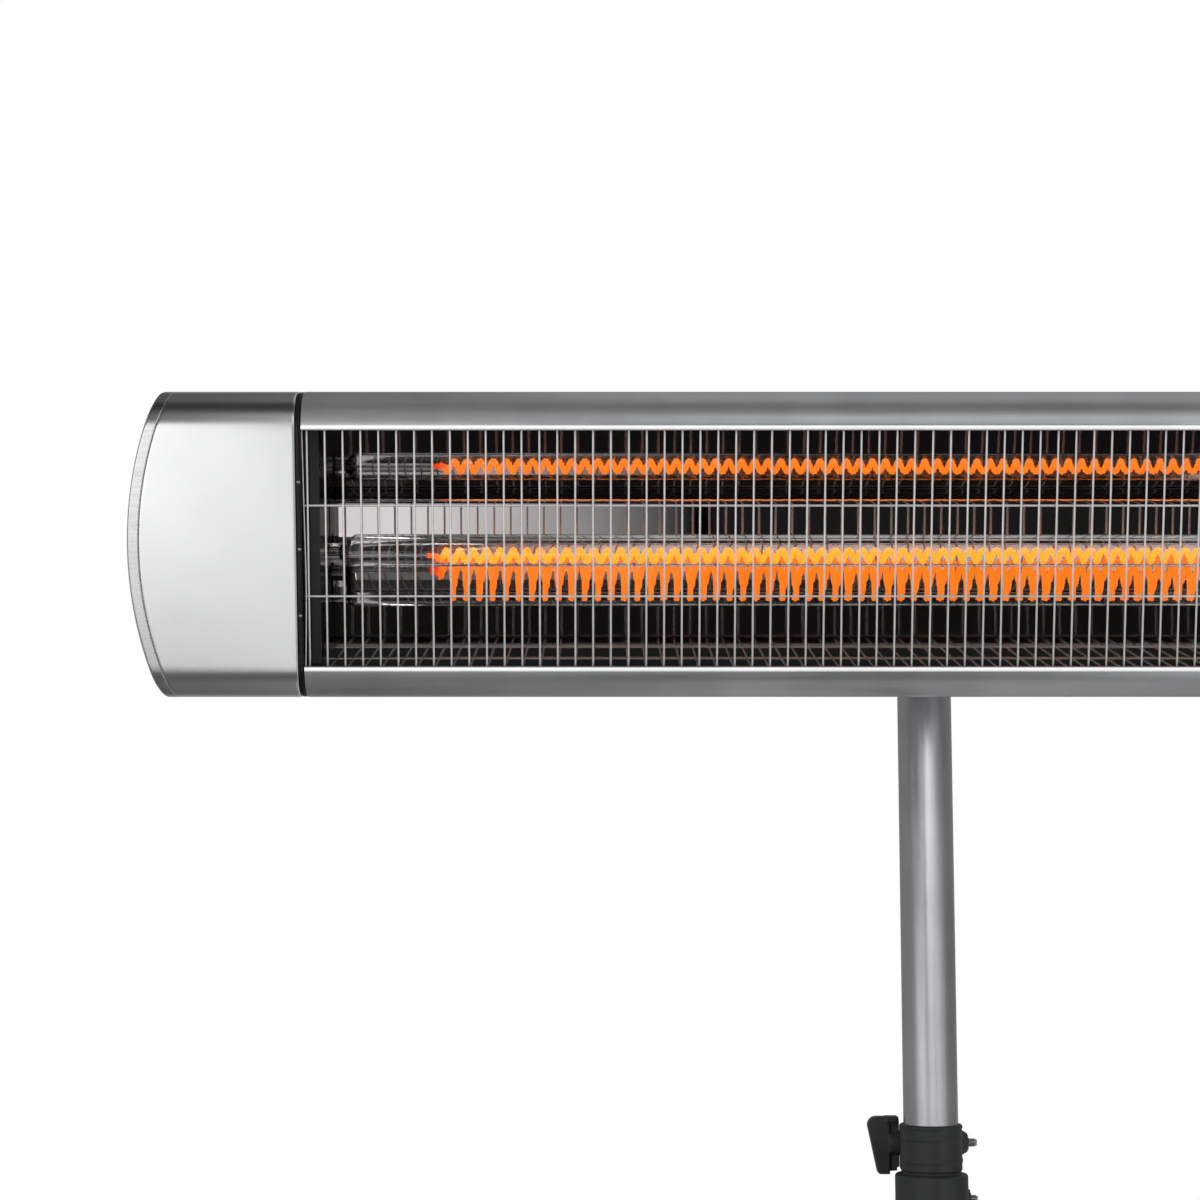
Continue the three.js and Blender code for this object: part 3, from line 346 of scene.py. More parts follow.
def piece(name, form, slot, body, *nodes, place=None, edge=0, sharp=35, look=None):
    """A finished piece that rides on a body and stands for CAD nodes."""
    mesh = form if isinstance(form, bpy.types.Mesh) else mesh_of(form, name)
    if edge:
        soften_edges(mesh, edge)
    if place is not None:
        mesh.transform(place)
    mesh.shade_smooth()
    mesh.set_sharp_from_angle(angle=radians(sharp))
    mesh.materials.clear()
    mesh.materials.append(LOOK[look or slot])
    made = new_object(name, mesh)
    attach(made, body)
    if nodes:
        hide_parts(*nodes)
    return made


def on_head(name, form, slot, *nodes, **finish):
    """A piece of the head, made in its own directions: along, depth and height."""
    return piece(name, form, slot, "head", *nodes, place=HEAD, **finish)


# Materials: each has its fine grain, its mottling and its changes of roughness
def new_material(name, **settings):
    material = bpy.data.materials.new(name)
    material.use_nodes = True
    shader = material.node_tree.nodes["Principled BSDF"]
    for socket, value in settings.items():
        shader.inputs[socket.replace("_", " ")].default_value = value
    return material, material.node_tree, shader


def add_node(tree, kind, **inputs):
    """A shader node whose inputs are set or linked; a space in an input's name is written _."""
    made = tree.nodes.new("ShaderNode" + kind)
    for name, value in inputs.items():
        socket = made.inputs[name.replace("_", " ")]
        if isinstance(value, bpy.types.NodeSocket):
            tree.links.new(value, socket)
        else:
            socket.default_value = value
    return made


def grain(tree, scale, stretch=(1, 1, 1), detail=3.0):
    """A noise in the object's own coordinates, drawn out by unequal scales."""
    place = add_node(tree, "TexCoord").outputs["Object"]
    drawn_out = add_node(tree, "Mapping", Vector=place, Scale=stretch).outputs["Vector"]
    return add_node(tree, "TexNoise", Vector=drawn_out, Scale=scale, Detail=detail).outputs["Fac"]


def spread(tree, factor, low, high, centre=0.5, width=0.25):
    """A number that runs from low to high as the noise goes across its middle."""
    ends = {"From_Min": centre - width, "From_Max": centre + width, "To_Min": low, "To_Max": high}
    return add_node(tree, "MapRange", Value=factor, **ends).outputs["Result"]


def blend_colours(tree, factor, low, high):
    """A colour that runs from low to high as the noise goes across its middle."""
    ramp = add_node(tree, "ValToRGB", Fac=factor)
    for element, position, colour in zip(ramp.color_ramp.elements, (0.3, 0.7), (low, high)):
        element.position = position
        element.color = (*colour, 1)
    return ramp.outputs["Color"]


def bump(tree, shader, height, distance, strength=1.0):
    made = add_node(tree, "Bump", Height=height, Distance=distance, Strength=strength)
    tree.links.new(made.outputs["Normal"], shader.inputs["Normal"])


def metal(name, dark, pale, roughness, stretch, line_scale=900.0, relief=0.01 * MM, **settings):
    """Metal with fine drawn lines, slow mottling of its tone and small changes of roughness."""
    material, tree, shader = new_material(name, **settings)
    lines = grain(tree, line_scale, stretch, 4.0)
    mottle = grain(tree, 22.0, (1, 1, 1), 5.0)
    tree.links.new(blend_colours(tree, mottle, dark, pale), shader.inputs["Base Color"])
    tree.links.new(spread(tree, lines, *roughness), shader.inputs["Roughness"])
    if relief:
        bump(tree, shader, lines, relief)
    return material


def plastic(name, dark, pale, roughness, scale=1400.0, relief=0.03 * MM, **settings):
    """Moulded plastic or rubber with a fine spark-eroded grain."""
    material, tree, shader = new_material(name, **settings)
    fine = grain(tree, scale, (1, 1, 1), 2.0)
    slow = grain(tree, 35.0, (1, 1, 1), 4.0)
    tree.links.new(blend_colours(tree, slow, dark, pale), shader.inputs["Base Color"])
    tree.links.new(spread(tree, slow, *roughness), shader.inputs["Roughness"])
    bump(tree, shader, fine, relief, 0.6)
    return material


ALONG_X = (0.02, 1, 1)
ALONG_Z = (1, 1, 0.02)
EVEN = (1, 1, 1)


def make_materials():
    metals = {
        "satin_aluminium": ((0.47, 0.475, 0.485), (0.58, 0.585, 0.595), (0.30, 0.42), ALONG_X, 0.85),
        "plate_aluminium": ((0.74, 0.745, 0.75), (0.84, 0.845, 0.85), (0.24, 0.32), ALONG_X, 1.0),
        "pole_aluminium": ((0.42, 0.42, 0.435), (0.52, 0.52, 0.535), (0.26, 0.36), ALONG_Z, 0.95),
        "raw_edge": ((0.84, 0.84, 0.84), (0.94, 0.94, 0.94), (0.35, 0.5), ALONG_X, 0.25),
        "bright_wire": ((0.82, 0.81, 0.79), (0.92, 0.91, 0.90), (0.26, 0.36), EVEN, 0.8),
        "zinc_steel": ((0.50, 0.50, 0.49), (0.66, 0.66, 0.65), (0.22, 0.40), EVEN, 1.0),
    }
    made = {}
    for name, (dark, pale, roughness, stretch, metallic) in metals.items():
        made[name] = metal(name, dark, pale, roughness, stretch, Metallic=metallic)
    made["pale_cover"] = metal(
        "pale_cover", (0.91, 0.915, 0.92), (0.97, 0.975, 0.98), (0.277, 0.283), (0.35, 1, 1), 60.0, 0,
        Metallic=1.0,
    )
    made["mirror"] = metal(
        "mirror", (0.46, 0.44, 0.43), (0.52, 0.50, 0.49), (0.02, 0.05), EVEN, 60.0, 0.002 * MM, Metallic=1.0
    )
    made["glossy_black"] = plastic(
        "glossy_black", (0.004, 0.004, 0.005), (0.007, 0.007, 0.008), (0.12, 0.2), Specular_IOR_Level=0.2
    )
    for name, dark, pale, roughness, *grain_size in (
        ("black_steel", (0.010, 0.010, 0.011), (0.018, 0.018, 0.019), (0.36, 0.48)),
        ("black_plastic", (0.011, 0.012, 0.013), (0.018, 0.019, 0.020), (0.42, 0.55)),
        ("rubber", (0.010, 0.010, 0.010), (0.020, 0.020, 0.020), (0.7, 0.9), 700.0),
        ("ceramic", (0.74, 0.70, 0.62), (0.82, 0.79, 0.72), (0.55, 0.75), 900.0),
        ("sleeve", (0.60, 0.56, 0.48), (0.72, 0.69, 0.61), (0.7, 0.9), 1500.0, 0.1 * MM),
    ):
        made[name] = plastic(name, dark, pale, roughness, *grain_size)
    made["quartz"] = make_quartz()
    made["glowing_wire"] = make_glow()
    return made


def make_quartz():
    material, tree, shader = new_material("quartz", Base_Color=(1, 1, 1, 1), IOR=1.46)
    shader.inputs["Transmission Weight"].default_value = 1.0
    haze = grain(tree, 90.0, (0.2, 1, 1), 2.0)
    tree.links.new(spread(tree, haze, 0.0, 0.006), shader.inputs["Roughness"])
    return material


def make_glow():
    """Glowing resistance wire: how hot each point glows, with painted shade in the strand's grooves, comes
    from the mesh, deep red to yellow.
    """
    material, tree, shader = new_material("glowing_wire", Base_Color=(0.12, 0.05, 0.03, 1), Roughness=0.7)
    glow_and_groove_shade = add_node(tree, "Attribute")
    glow_and_groove_shade.attribute_name = "warmth_and_groove_shade"
    ramp = add_node(tree, "ValToRGB", Fac=glow_and_groove_shade.outputs["Fac"])
    elements = ramp.color_ramp.elements
    elements[0].color = (0.05, 0.004, 0.001, 1)
    elements[1].color = (1.0, 0.21, 0.012, 1)
    for position, colour in ((0.35, (0.75, 0.03, 0.002, 1)), (0.7, (1.0, 0.125, 0.004, 1))):
        elements.new(position).color = colour
    tree.links.new(ramp.outputs["Color"], shader.inputs["Emission Color"])
    shader.inputs["Emission Strength"].default_value = 2.4
    return material


LOOK = make_materials()


# The head's section at a height, for a skin set in by a distance
def front_depth(height, inset):
    past = abs(height) - LIP_EDGE
    if past <= 0:
        return inset
    return CORNER - sqrt(max((CORNER - inset) ** 2 - past ** 2, 0))


def rear_depth(height, inset):
    share = min(abs(height) / (HALF_HEIGHT - inset), 1)
    return STRAIGHT + (HEAD_DEPTH - STRAIGHT - inset) * sqrt(1 - share ** 2)


SECTION_STEPS = 72


def section_heights(inset):
    turns = [pi / 2 - pi * i / SECTION_STEPS for i in range(SECTION_STEPS + 1)]
    return [(HALF_HEIGHT - inset) * sin(t) for t in turns]


def closed_section(inset):
    """The cap's closed outline: down the face and up the back."""
    heights = section_heights(inset)
    face = [(front_depth(h, inset), h) for h in heights]
    back = [(rear_depth(h, inset), h) for h in reversed(heights)]
    return face + back


def bow(height, radius):
    return BOW_CENTRE + sqrt(radius ** 2 - height ** 2)


def open_section(inset):
    """The body's outline, from the upper lip round the back to the lower lip."""
    radius = CORNER - inset
    upper = arc(CORNER, LIP_EDGE, radius, radius, 180, 90, 14)
    lower = arc(CORNER, -LIP_EDGE, radius, radius, -90, -180, 14)
    deep = HEAD_DEPTH - STRAIGHT - inset
    back = arc(STRAIGHT, 0, deep, HALF_HEIGHT - inset, 90, -90, 64)
    return [*upper, *back, *lower]


def make_housing():
    low, high = head_box("housing_shell")
    end_round = arc(WALL / 2, -LIP_EDGE, WALL / 2, WALL / 2, 150, 30, 3)
    start_round = arc(WALL / 2, LIP_EDGE, WALL / 2, WALL / 2, -30, -150, 3)
    outline = [*open_section(0), *end_round, *reversed(open_section(WALL)), *start_round]
    on_head("housing", prism(outline, low.x, high.x), "satin_aluminium", "housing_shell", edge=0.3 * MM)
    bead_width = 2.5 * MM
    bead_depth = 1.6 * MM
    bead_proud = 0.3 * MM
    for word, side in (("upper", 1), ("lower", -1)):
        middle = side * (LIP_EDGE + bead_width / 4)
        outline = arc(bead_depth / 2 - bead_proud, middle, bead_depth / 2, bead_width / 2, 0, 337.5, 15)
        on_head(
            f"lip_bead_{word}", prism(outline, low.x, high.x), "pale_cover",
            edge=0.15 * MM, sharp=60, look="raw_edge",
        )


SWITCH_HALF = 6.5 * MM
SWITCH_HIGH = 11 * MM
GLAND_THREAD = 6 * MM


def inlet_holes():
    """The holes in the back of the left cap for the switch and for the cord gland."""
    low, high = head_box("switch_housing")
    middle = (low.x + high.x) / 2
    half = SWITCH_HALF + FIT
    high_half = SWITCH_HIGH + FIT
    through = HEAD_DEPTH + WALL
    opening = brick((middle - half, STRAIGHT, -high_half), (middle + half, through, high_half))
    low, high = head_box("cable_gland")
    return opening, rod_y(GLAND_THREAD + FIT, STRAIGHT, through, (low.x + high.x) / 2, 0)


def make_cap(word, side):
    low, high = head_box(f"end_cap_{word}")
    seam = min(abs(low.x), abs(high.x))
    edge = 0.7 * MM
    end_radius = BOW_RADIUS - PLATE - FIT
    rings = []

    def ring(inset, x_of):
        rings.append([(side * x_of(h), d, h) for d, h in closed_section(inset)])

    for inset, back in rounding(edge, (90, 60, 30, 0)):
        ring(inset, lambda h, b=back: seam + b)
    for share in (0.012, 0.25, 0.5, 0.75, 0.988):
        ring(0, lambda h, s=share: seam + edge + s * (bow(h, end_radius) - seam - 2 * edge))
    for inset, back in rounding(edge, (0, 30, 60, 90)):
        ring(inset / 2, lambda h, b=back: bow(h, end_radius) - b)
    ring(WALL, lambda h: bow(h, end_radius))
    ring(WALL, lambda h: seam)
    form = Form().loft(rings, along=True)
    if word == "left":
        form = carved(form, *inlet_holes())
    on_head(f"cap_{word}", form, "pale_cover", f"end_cap_{word}", sharp=40)


def make_bow_plate(word, side):
    """The bowed end plate, its outer rim rounded off."""
    rim = 1.3 * MM
    inner_radius = BOW_RADIUS - PLATE

    def ring(inset, x_of):
        return [(side * x_of(h), d, h) for d, h in closed_section(inset)]

    edge = 0.3 * MM
    beside = 0.2 * MM  # a ring this near to a rounding keeps the flat side's shading flat
    rings = [ring(edge, lambda h: bow(h, inner_radius))]
    for radius in (inner_radius + edge, inner_radius + edge + beside, BOW_RADIUS - rim - beside):
        rings.append(ring(0, lambda h, r=radius: bow(h, r)))
    for inset, back in rounding(rim, range(0, 91, 15)):
        rings.append(ring(inset, lambda h, b=back: bow(h, BOW_RADIUS - b)))
    form = Form().loft(rings, ends=False)
    across = 8
    for inset, radius in ((edge, inner_radius), (rim, BOW_RADIUS)):
        rows = []
        for h in section_heights(inset):
            a, b = front_depth(h, inset), rear_depth(h, inset)
            x = side * bow(h, radius)
            rows.append([(x, a + (b - a) * k / across, h) for k in range(across + 1)])
        form.loft(rows, around=False, ends=False)
    on_head(
        f"bow_plate_{word}", form, "satin_aluminium", f"end_plate_{word}", sharp=50, look="plate_aluminium"
    )


LINER_BAND = 2.6 * MM
LEAD_DEPTH = HEAD_DEPTH - 11 * MM  # where the long lead runs behind the reflector
LEAD_HEIGHT = 20 * MM


def make_seam_liner(word, side):
    """A stepped black liner: a plug in the end of the body and a band between body and cap."""
    low, high = head_box(f"end_liner_{word}")
    inner, outer = sorted((abs(low.x), abs(high.x)))
    step = outer - LINER_BAND
    plug_face = 6.8 * MM
    plug_inset = WALL + 2 * FIT
    sunk = 0.15 * MM
    edge = 0.6 * MM
    rings = []

    def ring(x, inset, face=0.0):
        rings.append([(side * x, max(d, face), h) for d, h in closed_section(inset)])

    ring(inner, plug_inset, plug_face)
    ring(step, plug_inset, plug_face)
    ring(step, sunk + edge)
    for inset, back in rounding(edge, (30, 60, 90)):
        ring(step + inset, sunk + back)
    for inset, back in rounding(edge, (90, 60, 30)):
        ring(outer - inset, sunk + back)
    ring(outer, sunk + edge)
    quartz_low, quartz_high = head_box("quartz_tube")
    middle = (quartz_low + quartz_high) / 2
    clear = QUARTZ_RADIUS + 2 * FIT
    tube_hole = rod_x(clear, -HALF_LENGTH, HALF_LENGTH, middle.y, middle.z)
    lead_hole = rod_x(3.5 * MM, -HALF_LENGTH, HALF_LENGTH, LEAD_DEPTH, LEAD_HEIGHT)
    mesh = carved(Form().loft(rings), tube_hole, lead_hole)
    on_head(f"seam_liner_{word}", mesh, "black_plastic", f"end_liner_{word}", look="glossy_black")
    rivets = Form()
    rivet = 0.95 * MM
    apart = 35 * MM
    for height in (-apart, 0, apart):
        dome = lathe([(max(r, rivet / 40), z) for r, z in arc(0, 0, rivet, rivet * 0.6, 90, 0, 5)], 20)
        rivets.joined(dome.moved(at(side * (outer - LINER_BAND / 2), sunk, height) @ TO_BACK.inverted()))
    on_head(f"liner_rivets_{word}", rivets, "zinc_steel")
    # a thin bright wire that bows along the end of the opening: how far in, depth and height
    reach = LIP_EDGE - 0.5 * MM
    route = ((0.45, 3, reach), (0.9, 3.4, 25 * MM), (1.5, 3.6, -20 * MM), (0.8, 3, -reach))
    line = [(side * (step - far_in * MM), depth * MM, height) for far_in, depth, height in route]
    wire = sweep(smooth_line(line, WIRE_SIDES), 0.38 * MM, WIRE_SIDES)
    on_head(f"edge_wire_{word}", wire, "bright_wire")


# Reflector section, as in the frame: a tight bend above the tube and a long sweep below it
TROUGH_BOTTOM = 52 * MM
RIM_DEPTH = 5.3 * MM
REFLECTOR_SHEET = 1 * MM
UPPER_BEND = (0.0877 * LIP_EDGE, 0.2948 * LIP_EDGE, 24)
LOWER_BEND = (0.7697 * LIP_EDGE, -0.0542 * LIP_EDGE, 90)


def trough_side(bend, offset, reach):
    """Half of one face of the sheet, from its rim to the flat bottom, as (depth, height) points."""
    bend_radius, bend_height, steps = bend
    centre = TROUGH_BOTTOM - bend_radius
    ahead, aside = centre - RIM_DEPTH, LIP_EDGE - bend_height
    slope = atan2(ahead, aside) + asin(bend_radius / hypot(aside, ahead))
    radius = bend_radius + offset
    depth = RIM_DEPTH + offset
    join = Vector((centre + radius * cos(slope), bend_height + radius * sin(slope)))
    mouth = Vector((depth, join.y + (join.x - depth) / tan(slope)))
    straight = 6
    side = [tuple(mouth.lerp(join, i / straight)) for i in range(straight)]
    return [(depth, reach), *side, *arc(centre, bend_height, radius, radius, degrees(slope), 0, steps)]


def trough_face(offset, reach):
    below = [(d, -h) for d, h in trough_side(LOWER_BEND, offset, reach)]
    return [*trough_side(UPPER_BEND, offset, reach), *reversed(below)]


def make_mirror():
    low, high = head_box("reflector")
    outline = [*trough_face(0, high.z), *reversed(trough_face(REFLECTOR_SHEET, high.z))]
    form = prism(outline, low.x, high.x)
    on_head("mirror_trough", form, "mirror", "reflector", sharp=30)


def make_guard():
    low, high = head_box("guard_grille")
    radius = 0.54 * MM
    plane = 4.1 * MM
    pitch = 9.3 * MM
    rail_radius = 0.6 * MM
    rail_depth = plane + radius + rail_radius - 0.3 * MM
    rail_heights = (22.4 * MM, -25.3 * MM)
    half = int((high.x - radius) / pitch)
    form = Form()
    for i in range(-half, half + 1):
        x = i * pitch
        wire = rounded_rod(radius, low.z, high.z, edge=0.2 * MM, sides=WIRE_SIDES)
        form.joined(wire.moved(at(x, plane, 0)))
        for height in rail_heights:
            weld = [(x, plane + radius * 0.5, height), (x, rail_depth - rail_radius * 0.5, height)]
            form.joined(sweep(weld, [radius * 1.05, rail_radius * 1.1], 10))
    for height in rail_heights:
        rail = rounded_rod(rail_radius, low.x, high.x, 0.2 * MM, 14)
        form.joined(rail.moved(TO_X).moved(at(0, rail_depth, height)))
    on_head("guard", form, "bright_wire", "guard_grille")


def make_quartz_tube():
    low, high = head_box("quartz_tube")
    middle = (low + high) / 2
    outer = QUARTZ_RADIUS
    bore = outer - 0.9 * MM
    end = high.x
    press_start = 316 * MM  # from here the tube is pressed down on its pin
    press_bore = 1.5 * MM
    press_outer = 5.2 * MM
    outside = [(outer, -press_start), (outer, press_start)]
    inside = [(bore, press_start), (bore, -press_start)]
    shoulder = 8
    run = 7 * MM
    for i in range(1, shoulder + 1):
        share = (1 - cos(pi * i / shoulder)) / 2
        x = press_start + run * i / shoulder
        outside.append((outer + (press_outer - outer) * share, x))
        inside.insert(0, (bore + (press_bore - bore) * share, x))
    outside += [(press_outer, end), (press_bore, end)]
    left = [(r, -x) for r, x in reversed(outside[2:])]
    left_inside = [(r, -x) for r, x in reversed(inside[:-2])]
    profile = [*left, *outside, *inside, *left_inside]
    form = lathe(profile, 64, closed=True).moved(TO_X).moved(at(0, middle.y, middle.z))
    on_head("quartz", form, "quartz", "quartz_tube", sharp=60)


# Heating coil: a corded strand wound in turns, with a half turn that runs in to the axis at each end
COIL = {"diameter": 9.3 * MM, "strand": 3.3 * MM, "pitch": 7.21 * MM, "turns": 74, "tail": 5 * MM}


def coil_line(depth, height, end):
    steps = 40
    radius = (COIL["diameter"] - COIL["strand"]) / 2
    half = COIL["turns"] * COIL["pitch"] / 2
    points = []
    outward = []
    for i in range(int((COIL["turns"] + 1) * steps) + 1):
        turn = i / steps - 0.5
        past = max(-turn, turn - COIL["turns"], 0) * 2
        along = min(max(turn, 0), COIL["turns"]) * COIL["pitch"] - half
        x = along + copysign(past * COIL["tail"], turn - COIL["turns"] / 2)
        r = radius * (1 + cos(past * pi)) / 2
        angle = turn * 2 * pi
        out = Vector((0, cos(angle), sin(angle)))
        points.append(Vector((x, depth, height)) + out * r)
        outward.append(out)
    start = Vector((-end, depth, height))
    finish = Vector((end, depth, height))
    return [start, *points, finish], [outward[0], *outward, outward[-1]]


def make_glow_coil():
    low, high = head_box("heating_coil")
    middle = (low + high) / 2
    line, outward = coil_line(middle.y, middle.z, high.x)
    plies = 3
    ply_radius = 0.92 * MM
    ply_centre = 0.78 * MM
    lay = 9 * MM  # length in which the plies go once round each other
    ply_sides = 8
    form = Form()
    glow_and_groove_shade = []
    travelled = [0.0]
    for a, b in zip(line, line[1:]):
        travelled.append(travelled[-1] + (b - a).length)
    half = COIL["turns"] * COIL["pitch"] / 2
    for ply in range(plies):
        centres = []
        for i, point in enumerate(line):
            tangent = tangent_at(line, i)
            up = (outward[i] - tangent * outward[i].dot(tangent)).normalized()
            side = tangent.cross(up)
            turn = 2 * pi * (travelled[i] / lay + ply / plies)
            centres.append(point + ply_centre * (up * cos(turn) + side * sin(turn)))
        form.joined(sweep(centres, ply_radius, ply_sides))
        for i, centre in enumerate(centres):
            away = (centre - line[i]).normalized()
            past = max(abs(line[i].x) - half, 0) / COIL["tail"]
            mottle = 0.10 * noise.noise(centre * 700)
            for k in range(ply_sides):
                corner = form.verts[len(form.verts) - len(centres) * ply_sides + i * ply_sides + k]
                # painted shade: each ply glows dimmer on its side that faces into the strand, so the
                # grooves between plies look shaded; the tails glow cooler
                crest = (corner - centre).normalized().dot(away)
                level = 0.86 + 0.14 * crest + mottle - 0.55 * min(past, 1)
                glow_and_groove_shade.append(max(level, 0.05))
    mesh = bpy.data.meshes.new("glow_coil")
    mesh.from_pydata([tuple(v) for v in form.verts], [], form.faces)
    attribute = mesh.attributes.new("warmth_and_groove_shade", "FLOAT", "POINT")
    attribute.data.foreach_set("value", glow_and_groove_shade)
    on_head("glow_coil", mesh, "glowing_wire", "heating_coil", sharp=80)


def make_holders():
    for word in ("left", "right"):
        low, high = head_box(f"ceramic_holder_{word}")
        middle = (low + high) / 2
        radius = max(high.z - low.z, high.y - low.y) / 2
        groove = 1.2 * MM
        bore = 8.2 * MM
        pin_bore = 1.5 * MM
        start, end = sorted((abs(low.x), abs(high.x)))
        floor = start + 7.6 * MM
        edge = 0.8 * MM
        profile = [(bore, start), (radius - edge, start), (radius, start + edge)]
        for share in (0.35, 0.65):
            x = start + (end - start) * share
            profile += [(radius, x - groove), (radius - groove, x - groove / 2)]
            profile += [(radius - groove, x + groove / 2), (radius, x + groove)]
        profile += [(radius, end - edge), (radius - edge, end)]
        profile += [(pin_bore, end), (pin_bore, floor), (bore, floor)]
        form = lathe(profile, TURNED_SIDES, closed=True).moved(TO_X)
        if word == "left":
            form.moved(Matrix.Scale(-1, 4, (1, 0, 0)))
        form.moved(at(0, middle.y, middle.z))
        on_head(f"tube_holder_{word}", form, "ceramic", f"ceramic_holder_{word}")


# Screws, bolts and knobs
SCREW_HEAD = 3 * MM


def recessed_screw(head_radius, shank_radius, shank_length):
    """A pan-head screw along Z, the underside of its head at zero, with a cross recess."""
    head_height = SCREW_HEAD
    flat = head_radius * 0.55
    tip = 0.05 * MM
    dome = arc(flat, 0, head_radius - flat, head_height, 0, 90, 8)
    shank = [(tip, -shank_length), (shank_radius, -shank_length), (shank_radius, 0)]
    slot = 0.14 * head_radius
    floor = head_height * 0.45
    along = brick((-flat, -slot, floor), (flat, slot, head_height * 2))
    across = brick((-slot, -flat, floor), (slot, flat, head_height * 2))
    return carved(lathe([*shank, *dome, (tip, head_height)], SCREW_SIDES), along, across)


KNOB_HUB = 4 * MM
KNOB_EDGE = 2.2 * MM
KNOB_SUNK = 9 * MM
KNOB_BORE = 13 * MM


def lobed_knob(thickness, bore):
    """A six-lobed knob along Z that stands on its hub, with rounded rims and a sunk disc in its face."""
    across = 17 * MM
    wave = 2.3 * MM
    turns = round_turns(KNOB_SIDES)

    def ring(inset, height):
        radii = [across + wave * cos(6 * t) - inset for t in turns]
        return [(r * cos(t), r * sin(t), height) for r, t in zip(radii, turns)]

    def disc(size, height):
        return [(size * cos(t), size * sin(t), height) for t in turns]

    top = KNOB_HUB + thickness
    hub_radius = 9.5 * MM
    hub_edge = 0.5 * MM
    rings = [disc(hub_radius - hub_edge, 0), disc(hub_radius, hub_edge), disc(hub_radius, KNOB_HUB)]
    rim = rounding(KNOB_EDGE, range(0, 91, 15))
    rings += [ring(back, KNOB_HUB + inset) for inset, back in rim]
    rings += [ring(inset, top - back) for inset, back in rim]
    step = 0.8 * MM
    rings += [disc(KNOB_SUNK, top), disc(KNOB_SUNK - step, top - step), disc(KNOB_SUNK / 8, top - step)]
    return carved(Form().loft(rings), rounded_rod(bore, -KNOB_HUB, KNOB_BORE, sides=SCREW_SIDES))


TILT_BOLT = 4 * MM


def make_bracket():
    low, high = head_box("rear_bracket")
    base_back = HEAD_DEPTH + 6 * MM
    ear_radius = high.y - PIVOT_DEPTH
    ear_inside = 20 * MM
    ear_outside = ear_inside + 3.5 * MM
    heights = [low.z + (high.z - low.z) * i / 12 for i in range(13)]
    front = [(rear_depth(h, -FIT), h) for h in heights]
    form = prism([*front, (base_back, high.z), (base_back, low.z)], low.x, high.x)
    overlap = base_back - 2 * MM
    ear = [(overlap, low.z), (base_back, low.z)]
    ear += arc(PIVOT_DEPTH, 0, ear_radius, ear_radius, -90, 90, 28)
    ear += [(base_back, high.z), (overlap, high.z)]
    form.joined(prism(ear, ear_inside, ear_outside), prism(ear, -ear_outside, -ear_inside))
    hole = rod_x(TILT_BOLT + FIT, 2 * low.x, 2 * high.x, PIVOT_DEPTH, 0)
    mesh = moulded(form, [hole], 0.6 * MM, 4)
    on_head("bracket", mesh, "black_steel", "rear_bracket", sharp=60)


def make_tilt_joint():
    make_bracket()
    for word in ("left", "right"):
        low, high = head_box(f"bracket_screw_{word}")
        seat = high.y - SCREW_HEAD
        screw = recessed_screw(4.7 * MM, 2.5 * MM, seat - low.y)
        place = HEAD @ at((low.x + high.x) / 2, seat, 0) @ TO_BACK
        piece(f"pan_screw_{word}", screw, "zinc_steel", "head", f"bracket_screw_{word}", place=place)

    low, high = head_box("tilt_bolt")
    head_height = 5.3 * MM
    form = hexagon(15 * MM, low.x, low.x + head_height).joined(
        rounded_rod(TILT_BOLT, low.x + head_height / 2, high.x, edge=0.6 * MM)
    )
    on_axis = HEAD @ at(0, PIVOT_DEPTH, 0) @ TO_X
    piece("hex_bolt", form, "zinc_steel", "head", "tilt_bolt", place=on_axis, edge=0.2 * MM)
    low, high = head_box("tilt_washer")
    form = rounded_rod(9 * MM, low.x, high.x, 0.3 * MM, TURNED_SIDES, TILT_BOLT + PLAY)
    piece("flat_washer", form, "zinc_steel", "head", "tilt_washer", place=on_axis)
    low, high = head_box("tilt_knob")
    knob = lobed_knob(high.x - low.x - KNOB_HUB, TILT_BOLT + PLAY)
    place = on_axis @ at(0, 0, low.x)
    piece("lobed_tilt_knob", knob, "black_plastic", "tilt_knob", "tilt_knob", place=place, sharp=50)


def make_switch():
    low, high = head_box("switch_housing")
    middle = (low.x + high.x) / 2
    bezel = 2 * MM
    left, right = middle - SWITCH_HALF, middle + SWITCH_HALF
    form = brick((left, low.y, -SWITCH_HIGH), (right, high.y - bezel / 2, SWITCH_HIGH))
    form.joined(brick((low.x, high.y - bezel, low.z), (high.x, high.y, high.z)))
    pocket_half = 5.1 * MM
    pocket_high = 9.2 * MM
    pocket_depth = 8 * MM
    pocket = brick(
        (middle - pocket_half, high.y - pocket_depth, -pocket_high),
        (middle + pocket_half, high.y + bezel, pocket_high),
    )
    mesh = moulded(form, [pocket], 0.35 * MM, 3)
    on_head("switch_body", mesh, "black_plastic", "switch_housing", sharp=60)

    half = 8 * MM
    crest = 6.3 * MM
    dip = 4.9 * MM
    root = -2 * MM
    hip = 1 * MM
    levels = [half - 2 * half * i / 16 for i in range(17)]
    curve = [(dip + (crest - dip) * (h / half) ** 2, h) for h in levels]
    outline = [(root, root), (root, -root), (hip, half), *curve, (hip, -half)]
    low, high = head_box("switch_rocker")
    pivot = HEAD.inverted() @ Vector(JOINTS["switch_rock"]["pos_m"])
    place = HEAD @ at(0, pivot.y, 0) @ Matrix.Rotation(radians(9), 4, "X")
    form = prism(outline, low.x, high.x)
    piece(
        "rocker_cap", form, "black_plastic", "rocker", "switch_rocker", place=place, edge=0.5 * MM,
        look="glossy_black",
    )


